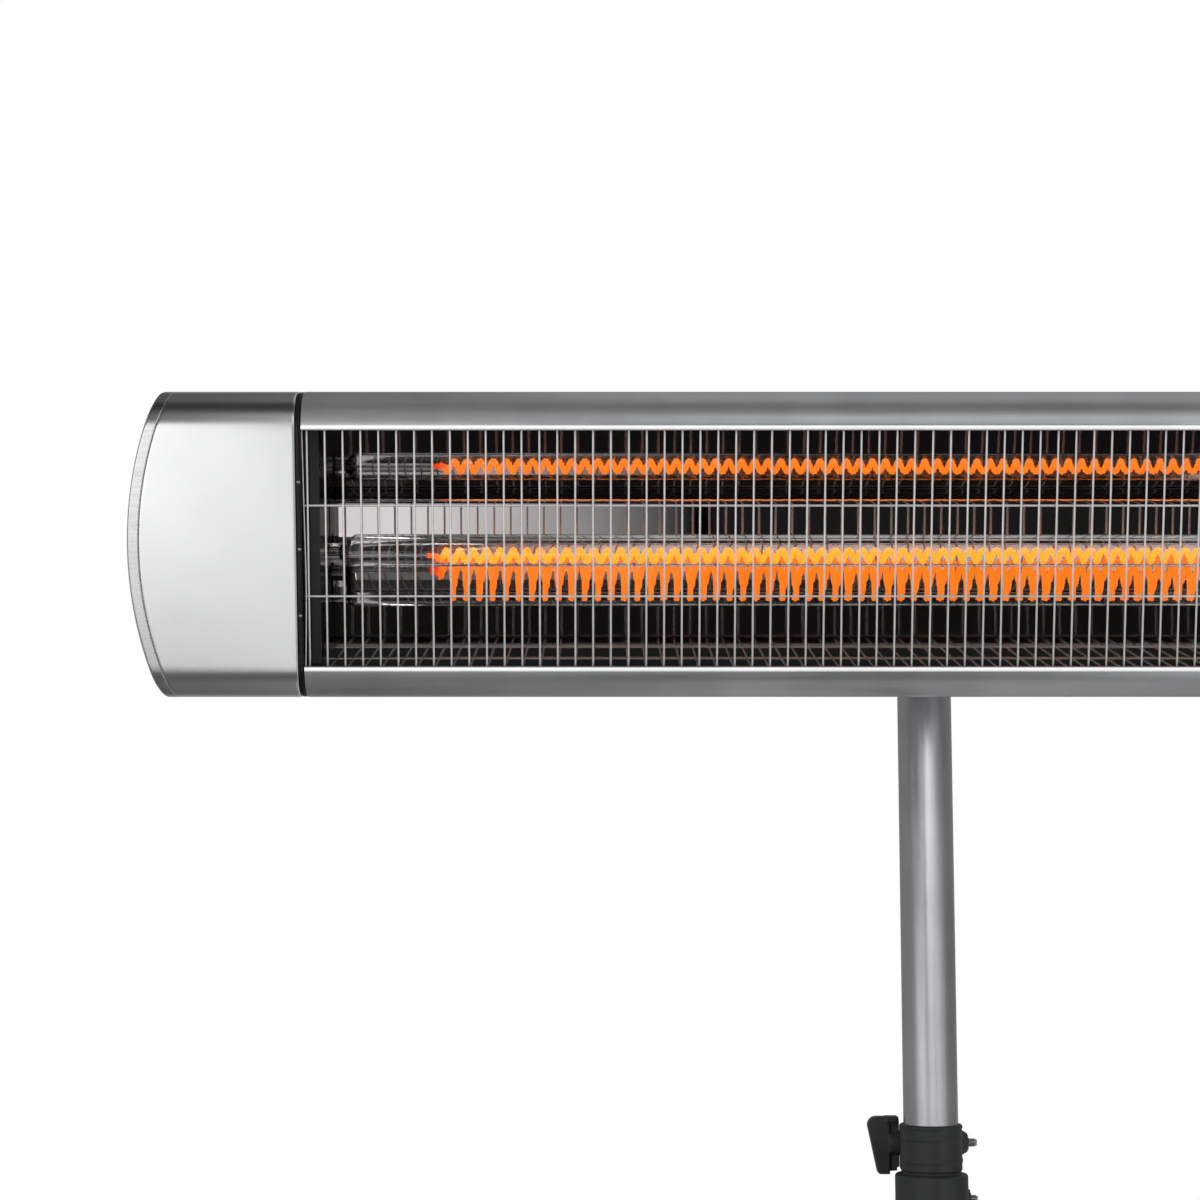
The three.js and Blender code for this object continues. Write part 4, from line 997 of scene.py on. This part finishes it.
def make_gland():
    low, high = head_box("cable_gland")
    middle = (low.x + high.x) / 2
    flange = HEAD_DEPTH + FIT
    flange_back = flange + 5.5 * MM
    across = 19 * MM
    nut_height = 4 * MM
    nut = low.y + nut_height
    thread = GLAND_THREAD
    form = hexagon(across, flange, flange_back, chamfer=1 * MM)
    form.joined(rounded_rod(thread, low.y, flange_back), hexagon(across, nut, nut + nut_height))
    tip = 0.5 * MM
    foot = flange_back - 1 * MM
    dome_radius = 7.5 * MM
    dome = [(tip, foot), (dome_radius, foot)]
    ribs = 5
    groove = 0.5 * MM
    for i in range(ribs):
        z = flange_back + (high.y - flange_back) * i / ribs
        r = dome_radius - 1.5 * MM * i / ribs
        dome += [(r, z + groove / 2), (r, z + 2.5 * groove), (r - groove, z + 3.5 * groove)]
    dome += [(thread - groove, high.y), (tip, high.y)]
    form.joined(lathe(dome, TURNED_SIDES))
    bore = rounded_rod(3.4 * MM, 0, high.y * 2, sides=SCREW_SIDES)
    place = HEAD @ at(middle, 0, 0) @ TO_BACK
    mesh = moulded(form, [bore], 0.35 * MM, 2)
    piece("gland", mesh, "black_plastic", "head", "cable_gland", place=place, sharp=60)


LEAD_RADIUS = 1.8 * MM
LEAD_STEPS = 16
LEAD_SIDES = 20


def make_wiring():
    """What the caps hide: pins, leads, terminal block and thermal cut-out."""
    pins = {}
    for word in ("left", "right"):
        low, high = head_box(f"cold_pin_{word}")
        pins[word] = (low + high) / 2
        form = rod_x(1 * MM, low.x, high.x, pins[word].y, pins[word].z, edge=0.3 * MM, sides=THIN_SIDES)
        on_head(f"lead_pin_{word}", form, "zinc_steel", f"cold_pin_{word}")

    low, high = head_box("terminal_block")
    block = (low + high) / 2
    port = 2.4 * MM
    quarter = (high.y - low.y) / 4
    cuts = []
    for depth in (block.y - quarter, block.y + quarter):
        cuts.append(rod_x(port, low.x - port, low.x + 3 * port, depth, block.z))
        cuts.append(rounded_rod(port, high.z - 2 * port, high.z + port).moved(at(block.x, depth, 0)))
    mesh = moulded(brick(low, high), cuts, 0.5 * MM, 3)
    on_head("terminals", mesh, "ceramic", "terminal_block", sharp=60)
    port_x = low.x - FIT
    seam = high.x

    low, high = head_box("thermal_cutout")
    cutout = (low + high) / 2
    ear_half = 5 * MM
    form = rod_x(8 * MM, low.x, high.x, cutout.y, cutout.z, edge=0.8 * MM)
    ear_front = high.x - 1.2 * MM
    form.joined(brick((ear_front, low.y, cutout.z - ear_half), (high.x, high.y, cutout.z + ear_half)))
    on_head("cutout_can", form, "zinc_steel", "thermal_cutout", edge=0.15 * MM)

    bend = 12 * MM
    pin = pins["right"]
    start = head_box("cold_pin_right")[1].x + FIT
    switch_low, switch_high = head_box("switch_housing")
    switch = (switch_low.x + switch_high.x) / 2
    routes = {
        "supply_lead_left": [
            (-start, pin.y, pin.z),
            (-start - bend / 2, pin.y, pin.z),
            (-start - bend, pin.y, pin.z - bend),
            (-start - bend, block.y - quarter, block.z + bend),
            (port_x - bend / 2, block.y - quarter, block.z),
            (port_x, block.y - quarter, block.z),
        ],
        "cutout_lead": [
            (low.x - FIT, cutout.y, cutout.z),
            (low.x - bend, cutout.y, cutout.z),
            (switch, cutout.y, cutout.z - bend),
            (switch, switch_low.y - bend, bend / 2),
            (switch, switch_low.y - bend / 2, 0),
            (switch, switch_low.y, 0),
        ],
        "supply_lead_right": [
            (start, pin.y, pin.z),
            (start + bend / 2, pin.y, pin.z),
            (start + bend, LEAD_DEPTH - bend / 2, LEAD_HEIGHT / 2),
            (bend - seam, LEAD_DEPTH, LEAD_HEIGHT),
            *[(-seam * share, LEAD_DEPTH, LEAD_HEIGHT) for share in (1, 1 / 2, 0, -1 / 2, -1)],
            (seam - bend / 2, LEAD_DEPTH, LEAD_HEIGHT),
            (-start - bend, LEAD_DEPTH - bend, 0),
            (-start - bend, block.y + quarter, block.z / 2 - bend),
            (port_x - bend / 2, block.y + quarter, block.z),
            (port_x, block.y + quarter, block.z),
        ],
    }
    for name, route in routes.items():
        form = sweep(smooth_line(route, LEAD_STEPS), LEAD_RADIUS, LEAD_SIDES)
        on_head(f"sleeved_{name}", form, "sleeve", name)


# Pole, its head and its clamp
ON_POLE = at(POLE.x, POLE.y, 0)
UPPER_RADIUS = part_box("upper_tube")[1].x
OUTER_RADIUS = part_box("outer_tube")[1].x
UPPER_BORE = UPPER_RADIUS - 1.5 * MM
OUTER_BORE = OUTER_RADIUS - 1.5 * MM


def make_pole():
    for name, node, slot, body, radius, bore in (
        ("inner_pole", "upper_tube", "pole_aluminium", "mast", UPPER_RADIUS, UPPER_BORE),
        ("outer_pole", "outer_tube", "black_steel", "stand", OUTER_RADIUS, OUTER_BORE),
    ):
        low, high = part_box(node)
        form = rounded_rod(radius, low.z, high.z, edge=0.4 * MM, sides=TUBE_SIDES, bore=bore)
        piece(name, form, slot, body, node, place=ON_POLE)

    low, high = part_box("pole_head")
    level = TILT_PIVOT.z
    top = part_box("upper_tube")[1].z
    shoulder = top + 6 * MM
    barrel = 12 * MM
    neck = 12.4 * MM
    overlap = 1 * MM
    form = rod_x(barrel, low.x, high.x, 0, level, edge=0.8 * MM)
    form.joined(rounded_rod(neck, shoulder - overlap, level, edge=0.5 * MM))
    form.joined(rounded_rod(UPPER_RADIUS, top + FIT, shoulder, edge=1.2 * MM, sides=PLUG_SIDES))
    form.joined(rounded_rod(UPPER_BORE - FIT, low.z, shoulder - overlap, edge=0.8 * MM, sides=PLUG_SIDES))
    hole = rod_x(TILT_BOLT + PLAY, low.x * 2, high.x * 2, 0, level)
    mesh = moulded(form, [hole], 0.6 * MM, 4)
    piece("pole_casting", mesh, "black_steel", "mast", "pole_head", place=ON_POLE, sharp=60)

    for name, node, body in (
        ("casting_screw", "pole_head_screw", "mast"), ("hub_fixing_screw", "hub_screw", "stand")
    ):
        low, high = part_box(node)
        seat = high.y - SCREW_HEAD
        place = at(0, seat, (low.z + high.z) / 2) @ TO_BACK
        screw = recessed_screw((high.x - low.x) / 2, 2.4 * MM, seat - low.y)
        piece(name, screw, "zinc_steel", body, node, place=place)

    for name, node, body, foot, flange in (
        ("guide_bush", "slide_plug", "carriage", OUTER_BORE - FIT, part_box("upper_tube")[0].z),
        ("pole_foot_plug", "tube_end_plug", "stand", OUTER_RADIUS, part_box("outer_tube")[0].z),
    ):
        low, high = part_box(node)
        form = rounded_rod(foot, low.z, flange - FIT, edge=0.8 * MM, sides=PLUG_SIDES)
        spigot = UPPER_BORE if body == "carriage" else OUTER_BORE
        form.joined(rounded_rod(spigot - FIT, flange - overlap, high.z, edge=1 * MM, sides=PLUG_SIDES))
        piece(name, form, "black_plastic", body, node, place=ON_POLE)


COLLAR_BOLT = 22 * MM  # how far behind the pole's axis its bolts run
COLLAR_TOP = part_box("clamp_collar")[1].z
CLAMP_LEVEL = COLLAR_TOP - 12.5 * MM
FIX_LEVEL = COLLAR_TOP - 43.5 * MM
STUD = 2.4 * MM
STUD_BORE = STUD + 0.2 * MM
NUT_ACROSS = 8 * MM
FIX_HEAD = -12.2 * MM  # where the underside of the sunk head lies
STUD_PROUD = 2.5 * MM


def tapered_boss(low, high):
    """The collar's hexagonal boss along X, narrower at its end."""
    rings = []
    for x, corner in ((low, 7.4), (low + 3.4 * MM, 7.4), (high - 0.4 * MM, 4.8), (high, 4.5)):
        rings.append([(x, corner * MM * sin(t), corner * MM * cos(t)) for t in HEXAGON])
    return Form().loft(rings)


def make_collar():
    low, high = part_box("clamp_collar")
    neck = 17 * MM
    body = 20 * MM
    step = COLLAR_TOP - 26.7 * MM
    inner = 15 * MM
    edge = 0.8 * MM
    ridge = neck + 0.35 * MM
    groove = neck - 0.7 * MM
    profile = [(inner, low.z), (body - edge, low.z), (body, low.z + edge)]
    profile += arc(body - 2 * edge, step - 2 * edge, 2 * edge, 2 * edge, 0, 90, 5)
    profile += [(groove, step), (groove, step + 2 * edge), (neck, step + 2.5 * edge)]
    rib_levels = (COLLAR_TOP - 19.4 * MM, COLLAR_TOP - 7.2 * MM)
    for z in rib_levels:
        profile += [(neck, z - 1.5 * edge), (ridge, z - edge), (ridge, z + edge), (neck, z + 1.5 * edge)]
    profile += [(neck, COLLAR_TOP - 3 * edge), (ridge, COLLAR_TOP - 2 * edge), (ridge, COLLAR_TOP - edge)]
    profile += [(neck - edge / 2, COLLAR_TOP), (inner, COLLAR_TOP)]
    form = lathe(profile, COLLAR_SIDES, closed=True)
    slit = 1.2 * MM
    over = 5 * MM
    tube_stop = COLLAR_TOP - 28 * MM
    cuts = [
        rounded_rod(UPPER_RADIUS + PLAY, low.z - over, COLLAR_TOP + over, sides=COLLAR_SIDES),
        rounded_rod(OUTER_RADIUS + PLAY, low.z - over, tube_stop, sides=COLLAR_SIDES),
        brick((-slit, 0, low.z - over), (slit, 2 * COLLAR_BOLT, COLLAR_TOP + over)),
    ]
    lug_half = 7 * MM
    lug_left = -14 * MM
    boss = 7.4 * MM
    socket = NUT_ACROSS + 0.4 * MM
    cheek_low = (lug_left - 0.6 * MM, neck / 2, step)
    cheek_high = (lug_left + 5 * MM, COLLAR_BOLT + 2 * MM, CLAMP_LEVEL + 10 * MM)
    form.joined(brick(cheek_low, cheek_high))
    clamp_right, fix_right = 17 * MM, 18 * MM
    lug_back = COLLAR_BOLT + 1 * MM
    socket_floor = 1.3 * MM
    for level, right in ((CLAMP_LEVEL, clamp_right), (FIX_LEVEL, fix_right)):
        lug = [(neck - edge, level - lug_half), (neck - edge, level + lug_half)]
        lug += arc(lug_back, level, lug_half, lug_half, 90, -90, 20)
        form.joined(prism(lug, lug_left, right))
        form.joined(tapered_boss(right - edge, right + boss).moved(at(0, COLLAR_BOLT, level)))
        pocket = hexagon(socket, right + socket_floor, right + 2 * boss, chamfer=0.1 * MM)
        cuts.append(pocket.moved(at(0, COLLAR_BOLT, level) @ TO_X))
        cuts.append(rod_x(STUD_BORE, 2 * low.x, 2 * high.x, COLLAR_BOLT, level))
    sunk_head = hexagon(socket, 2 * lug_left, FIX_HEAD, chamfer=0.1 * MM)
    cuts.append(sunk_head.moved(at(0, COLLAR_BOLT, FIX_LEVEL) @ TO_X))
    mesh = moulded(form, cuts, 0.45 * MM, 2)
    piece("collar", mesh, "black_plastic", "stand", "clamp_collar", place=ON_POLE, sharp=60)

    for node, level in (("clamp_nut", CLAMP_LEVEL), ("collar_fix_nut", FIX_LEVEL)):
        low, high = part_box(node)
        form = hexagon(NUT_ACROSS, low.x, high.x, chamfer=0.5 * MM)
        place = ON_POLE @ at(0, COLLAR_BOLT, level) @ TO_X
        piece(f"hex_{node}", form, "zinc_steel", "stand", node, place=place, edge=0.15 * MM)

    low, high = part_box("clamp_bolt")
    place = ON_POLE @ at(0, COLLAR_BOLT, CLAMP_LEVEL) @ TO_X
    form = threaded(STUD, low.x, high.x + STUD_PROUD)
    piece("clamp_stud", form, "zinc_steel", "clamp_lever", "clamp_bolt", place=place, sharp=20)
    make_wing(low.x)
    low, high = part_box("collar_fix_bolt")
    place = ON_POLE @ at(0, COLLAR_BOLT, FIX_LEVEL) @ TO_X
    form = threaded(STUD, FIX_HEAD - 1 * MM, high.x + STUD_PROUD)
    head_height = 3.8 * MM
    form.joined(hexagon(NUT_ACROSS, FIX_HEAD - head_height, FIX_HEAD))
    piece("fixing_bolt", form, "zinc_steel", "stand", "collar_fix_bolt", place=place, sharp=20)


def make_wing(stud_end):
    """The wing knob: a rounded grip with a slanted outer edge and an arm along its top."""
    low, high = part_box("clamp_knob")
    outer = low.x + 2.8 * MM
    shoulder = 5 * MM
    arm_end = -15.6 * MM
    inner = -20.6 * MM
    foot = -27.3 * MM
    top = 14.4 * MM
    bottom = -17 * MM
    toe = 1.5 * MM
    arm_drop = 2.8 * MM
    outline = [(arm_end, top)]
    outline += arc(outer + shoulder, top - shoulder, shoulder, shoulder, 90, 180, 10)
    outline += arc(foot + toe, bottom + toe, toe, toe, 190, 270, 5)
    outline += [(inner, bottom), (inner, top - arm_drop), (arm_end, top - arm_drop)]
    half = 4.5 * MM
    hub_outer = -20.8 * MM
    form = slab(outline, -half, half).joined(rod_x(6.5 * MM, hub_outer, high.x, 0, 0, edge=0.6 * MM))
    arm_half = half + 1 * MM
    root = inner - 2 * MM
    form.joined(brick((root, -arm_half, top - arm_drop), (arm_end, arm_half, top + 0.2 * MM)))
    web_half = 2 * MM
    web_ends = ((-16.4 * MM, -15.4 * MM), (-15 * MM, -13.2 * MM))
    for reach, low_end in web_ends:
        form.joined(brick((root, -web_half, low_end), (reach, web_half, top - arm_drop / 2)))
    bore = rod_x(STUD_BORE, stud_end - FIT, 0, 0, 0)
    place = ON_POLE @ at(0, COLLAR_BOLT, CLAMP_LEVEL)
    mesh = moulded(form, [bore], 0.4 * MM, 5)
    piece("wing", mesh, "black_plastic", "clamp_lever", "clamp_knob", place=place, sharp=60)


# Base
YOKE_LEVEL = JOINTS["leg_1_hinge"]["pos_m"][2]
PIVOT_RADIUS = POLE.y - JOINTS["leg_1_hinge"]["pos_m"][1]
HUB_LEVEL = 124.9 * MM
LEG_RADIUS = 11 * MM
LEG_LENGTH = 560 * MM
PIN = 3 * MM


def arm_places(number):
    """An arm's places: its plane round the pole, its leg and its brace, each strut along Z."""
    leg_at = Vector(JOINTS[f"leg_{number}_hinge"]["pos_m"]) - POLE
    brace_at = Vector(JOINTS[f"brace_{number}_hinge"]["pos_m"]) - POLE
    out = brace_at.xy.length - PIVOT_RADIUS
    drop = leg_at.z - brace_at.z
    opening = atan2(out, drop)
    arm = ON_POLE @ Matrix.Rotation(atan2(leg_at.y, leg_at.x), 4, "Z")
    leg = arm @ at(PIVOT_RADIUS, 0, leg_at.z) @ Matrix.Rotation(-opening, 4, "Y")
    brace = arm @ at(PIVOT_RADIUS + out, 0, brace_at.z) @ Matrix.Rotation(opening, 4, "Y")
    return arm, leg, brace, hypot(out, drop)


def make_hub_and_yoke():
    bore = rounded_rod(OUTER_RADIUS + PLAY, 0, 1, sides=COLLAR_SIDES)
    hub_radius = 24 * MM
    edge = 1.5 * MM
    ear_in = LEG_RADIUS + PLAY
    ear_out = ear_in + 3.6 * MM
    boss_end = 30 * MM
    stud = rod_y(PIN + FIT, 0, 2 * boss_end, 0, YOKE_LEVEL)
    screw = rod_y(2.7 * MM, 0, 2 * boss_end, 0, HUB_LEVEL)

    low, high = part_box("base_hub")
    hub = rounded_rod(hub_radius, low.z, high.z, edge, TUBE_SIDES)
    low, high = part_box("leg_yoke")
    yoke = rounded_rod(hub_radius, low.z, high.z, edge, TUBE_SIDES)
    yoke.joined(rod_y(8 * MM, OUTER_RADIUS, boss_end, 0, YOKE_LEVEL, edge=0.8 * MM))
    lug_half = 9 * MM
    ear_half = 12 * MM
    lug = [(0, -lug_half), *arc(PIVOT_RADIUS, 0, 8 * MM, lug_half, -90, 90, 20), (0, lug_half)]
    ear = [(OUTER_RADIUS, -ear_half), *arc(PIVOT_RADIUS, 0, 10 * MM, ear_half, -90, 90, 20)]
    ear += [(OUTER_RADIUS, ear_half)]
    holes = []
    for number in (1, 2, 3):
        arm = ON_POLE.inverted() @ arm_places(number)[0]
        hub.joined(slab(lug, -LEG_RADIUS, LEG_RADIUS).moved(arm @ at(0, 0, HUB_LEVEL)))
        for low_y, high_y in ((ear_in, ear_out), (-ear_out, -ear_in)):
            yoke.joined(slab(ear, low_y, high_y).moved(arm @ at(0, 0, YOKE_LEVEL)))
        holes.append(rod_y(PIN + FIT, -hub_radius, hub_radius, PIVOT_RADIUS, YOKE_LEVEL).moved(arm))
    for name, form, cuts, body, node in (
        ("lower_hub", hub, [bore, screw], "stand", "base_hub"),
        ("upper_yoke", yoke, [bore, stud, *holes], "yoke", "leg_yoke"),
    ):
        mesh = moulded(form, cuts, 0.8 * MM, 4)
        piece(name, mesh, "black_plastic", body, node, place=ON_POLE, sharp=60)

    low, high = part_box("yoke_knob")
    foot = POLE.y + boss_end + FIT
    knob_mesh = lobed_knob(high.y - foot - KNOB_HUB, PIN)
    stud_form = threaded(PIN, low.y - foot, 14 * MM, 1 * MM)
    place = at(0, foot, YOKE_LEVEL) @ TO_BACK
    piece("lobed_yoke_knob", knob_mesh, "black_plastic", "yoke_lock", "yoke_knob", place=place, sharp=50)
    piece("yoke_stud", stud_form, "zinc_steel", "yoke_lock", place=place, sharp=20)


def domed_pin(radius, half, head_radius, head_height):
    """A rivet along Z with a domed head at each end."""
    tip = 0.05 * MM
    top = [(max(r, tip), z) for r, z in arc(0, half, head_radius, head_height, 0, 90, 6)]
    foot = [(r, -z) for r, z in reversed(top)]
    return lathe([*foot, (radius, -half), (radius, half), *top], RIVET_SIDES)


def make_arm(number):
    arm, leg, brace, brace_length = arm_places(number)
    wall = 1.5 * MM
    solid_top = 30 * MM
    tip = 0.05 * MM
    edge = 0.5 * MM
    dome = [(max(r, tip), z) for r, z in arc(0, 0, LEG_RADIUS, LEG_RADIUS, 0, 90, 12)]
    inside = [(tip, -solid_top), (LEG_RADIUS - wall, -solid_top), (LEG_RADIUS - wall, -LEG_LENGTH)]
    profile = [(LEG_RADIUS - edge, -LEG_LENGTH), (LEG_RADIUS, edge - LEG_LENGTH), *dome, *inside]
    holes = [rod_y(PIN + FIT, -2 * LEG_RADIUS, 2 * LEG_RADIUS, 0, level) for level in (0, -brace_length)]
    mesh = carved(lathe(profile, TURNED_SIDES, closed=True), *holes)
    piece(f"leg_tube_{number}", mesh, "black_steel", f"leg_{number}_body", f"leg_{number}", place=leg)
    head = (5 * MM, 1.9 * MM)
    pin_half = LEG_RADIUS + 4.3 * MM
    form = domed_pin(PIN, pin_half, *head).moved(TO_BACK)
    piece(f"pivot_{number}", form, "zinc_steel", "yoke", f"leg_pin_{number}", place=leg)

    inner = LEG_RADIUS + 0.6 * MM
    outer = inner + 2.5 * MM
    half = 7 * MM
    strip = arc(0, 0, half, half, 0, 180, 16) + arc(0, -brace_length, half, half, 180, 360, 16)
    form = slab(strip, inner, outer).joined(slab(strip, -outer, -inner))
    for side in (1, -1):
        for level in (0, -brace_length):
            rivet = domed_pin(PIN, outer - inner, *head)
            form.joined(rivet.moved(at(0, side * inner, level) @ TO_BACK))
    form.joined(rod_y(PIN, -outer, outer, 0, 0, edge=0.2 * MM, sides=THIN_SIDES))
    piece(
        f"brace_strips_{number}", form, "black_steel", f"brace_{number}_body", f"brace_{number}",
        place=brace, edge=0.3 * MM,
    )

    toe = -LEG_LENGTH - 10 * MM
    top = toe + 46 * MM
    floor = FIT - LEG_LENGTH - edge
    boot = 15 * MM
    rounding = 2 * MM
    hollow = LEG_RADIUS + FIT
    profile = [(tip, toe), *arc(boot - rounding, toe + rounding, rounding, rounding, -90, 0, 5)]
    rib_pitch = 3 * MM
    for z in (top - 3 * rib_pitch, top - 2 * rib_pitch, top - rib_pitch):
        rib = ((boot, -2), (boot - edge, -1), (boot - edge, 1), (boot, 2))
        profile += [(radius, z + steps * edge) for radius, steps in rib]
    profile += [(boot, top - edge), (boot - edge, top), (hollow, top), (hollow, floor), (tip, floor)]
    reach = 1.0
    floor_cut = brick((-reach, -reach, -reach), (reach, reach, 0))
    mesh = carved(lathe(profile, TURNED_SIDES).moved(leg), floor_cut)
    piece(f"rubber_boot_{number}", mesh, "rubber", f"leg_{number}_body", f"foot_{number}", sharp=40)


# Floor, surroundings, lamps and camera
def make_floor():
    """A pale floor that keeps the object's shadow."""
    reach = (-6.0, 6.0)
    level = -0.1 * MM
    rows = [[(x, y, level) for x in reach] for y in reach]
    floor = new_object("floor", mesh_of(Form().loft(rows, around=False, ends=False), "floor"))
    material, tree, shader = new_material("floor_paint", Roughness=0.8)
    pale = blend_colours(tree, grain(tree, 3.0), (0.80, 0.80, 0.80), (0.82, 0.82, 0.82))
    tree.links.new(pale, shader.inputs["Base Color"])
    floor.data.materials.append(material)


def board(name, x, y, z, strength, fade=None):
    """A flat board that only reflections see: black at 0, a soft box above it. Two of its places are
    ranges. Its light may fade out along an axis, between where it is full and where it ends."""
    xs, ys, zs = (span if isinstance(span, tuple) else (span,) for span in (x, y, z))
    corners = [(a, b, c) for c in zs for b in ys for a in xs]
    form = Form().loft([corners[:2], corners[2:]], around=False, ends=False)
    made = new_object(name, mesh_of(form, name))
    material = bpy.data.materials.new(name)
    material.use_nodes = True
    tree = material.node_tree
    tree.nodes.clear()
    if fade:
        axis, full, none = fade
        place = add_node(tree, "TexCoord").outputs["Object"]
        split = add_node(tree, "SeparateXYZ", Vector=place)
        strength = spread(tree, split.outputs[axis], strength, 0, (full + none) / 2, (none - full) / 2)
    glow = add_node(tree, "Emission", Strength=strength)
    add_node(tree, "OutputMaterial", Surface=glow.outputs["Emission"])
    made.data.materials.append(material)
    made.visible_camera = False
    made.visible_diffuse = False
    made.visible_shadow = False


def make_boards():
    """The dark and bright surroundings that the metal mirrors."""
    front, side, back, left, right, top, bottom = -1.75, -1.1, 1.8, -2.5, 2.5, 2.7, 0.02
    middle = (-0.75, 0.75)
    behind = (-0.3, back)
    for row in (
        ("dark_front", middle, front, (0.0, 1.36), 0.02),
        ("high_front", middle, front, (1.36, 2.3), 0.85, ("X", -0.35, -0.60)),
        ("dim_front", middle, front, (2.3, 3.2), 0.2),
        ("soft_low", (-0.62, -0.05), -1.4, (0.34, 0.90), 1.3, ("X", -0.41, -0.07)),
        ("left_low", (-2.2, -0.62), side, (0.0, 0.70), 0.10),
        ("left_front", (-2.2, -0.50), side, (0.66, 1.38), 1.38, ("Z", 0.93, 0.68)),
        ("left_inner", (-0.50, -0.42), side, (0.66, 1.02), 1.38, ("Z", 0.93, 0.68)),
        ("left_high", (-2.2, -0.62), side, (1.36, 3.2), 0.06),
        ("right_front", (1.1, 2.4), side, (0.70, 1.45), 0.7),
        ("right_high", (0.75, 2.4), side, (1.45, 3.2), 0.2),
        ("above_front", (left, right), (front, -0.3), top, 0.02),
        ("above_head", (-0.42, right), behind, top, 0.35), ("above_cap", (left, -0.42), behind, top, 0.08),
        ("below_front", middle, (front, -0.5), bottom, 0.02),
        ("below_head", (-0.42, 2.4), (-0.5, back), bottom, 0.35),
        ("below_cap", (left, -0.42), (side, back), bottom, 0.10),
        ("back", (left, right), back, (0.0, top), 0.28), ("far_left", -2.4, (side, back), (0.0, top), 0.3),
        ("far_right", 2.4, (side, back), (0.0, top), 0.22),
    ):
        board(*row)


def area_light(name, place, aim, size, power):
    data = bpy.data.lights.new(name, "AREA")
    data.shape = "RECTANGLE"
    data.size, data.size_y = size
    data.energy = power
    made = new_object(name, data)
    made.location = place
    made.rotation_euler = (Vector(aim) - Vector(place)).to_track_quat("-Z", "Y").to_euler()
    made.visible_glossy = False
    made.visible_camera = False
    return made


def make_pole_boxes():
    """Upright soft boxes in front that light, and are mirrored by, the bright tube alone."""
    tubes = bpy.data.collections.new("tubes")
    tubes.objects.link(bpy.data.objects["inner_pole"])
    distance = 1.4
    tall = 2.0
    middle = 1.3
    for name, low, high, radiance in (
        ("pole_box_left", -1.5, -0.62, 0.95), ("pole_box_middle", -0.28, 0.42, 1.05),
        ("pole_box_right", 0.42, 0.9, 0.25),
    ):
        x = (low + high) / 2
        size = (high - low, tall)
        power = pi * size[0] * size[1] * radiance
        made = area_light(name, (x, -distance, middle), (x, 0, middle), size, power)
        made.visible_glossy = True
        made.light_linking.receiver_collection = tubes
        made.light_linking.blocker_collection = tubes


def make_world():
    """White to the camera and to gloss and glass, and a softer level for plain light."""
    world = bpy.data.worlds.new("surroundings")
    bpy.context.scene.world = world
    world.use_nodes = True
    tree = world.node_tree
    background = tree.nodes["Background"]
    background.inputs["Color"].default_value = (1, 1, 1, 1)
    path = add_node(tree, "LightPath").outputs
    seen = path["Is Camera Ray"]
    for word in ("Is Glossy Ray", "Is Transmission Ray"):
        either = add_node(tree, "Math")
        either.operation = "MAXIMUM"
        tree.links.new(seen, either.inputs[0])
        tree.links.new(path[word], either.inputs[1])
        seen = either.outputs[0]
    plain_level = 0.55
    level = add_node(tree, "MapRange", Value=seen, To_Min=plain_level, To_Max=1.0)
    tree.links.new(level.outputs["Result"], background.inputs["Strength"])


# The camera that was fitted to the photograph
LENS = 72
SENSOR = 36
LOOKS_UP = 6.7  # degrees above level
EYE = (-0.1824, POLE.y - 1.3483, 1.1324)


def make_camera():
    data = bpy.data.cameras.new("photo_camera")
    data.lens = LENS
    data.sensor_width = SENSOR
    made = new_object("photo_camera", data)
    made.location = EYE
    made.rotation_euler = (radians(90 + LOOKS_UP), 0, 0)
    bpy.context.scene.camera = made


make_camera()
make_world()
make_floor()
make_boards()
HEART = (0, 0, 1.2)  # what the two plain lamps aim at
for lamp in (
    ("key", (-1.6, -2.2, 2.6), HEART, (1.6, 1.6), 60), ("fill", (1.8, -1.8, 1.6), HEART, (1.4, 1.4), 25)
):
    area_light(*lamp)
make_housing()
for word, side in (("left", -1), ("right", 1)):
    make_cap(word, side)
    make_bow_plate(word, side)
    make_seam_liner(word, side)
make_mirror()
make_guard()
make_quartz_tube()
make_glow_coil()
make_holders()
make_wiring()
make_tilt_joint()
make_switch()
make_gland()
make_pole()
make_collar()
make_hub_and_yoke()
for number in (1, 2, 3):
    make_arm(number)
make_pole_boxes()

bpy.context.scene.view_settings.view_transform = "Standard"
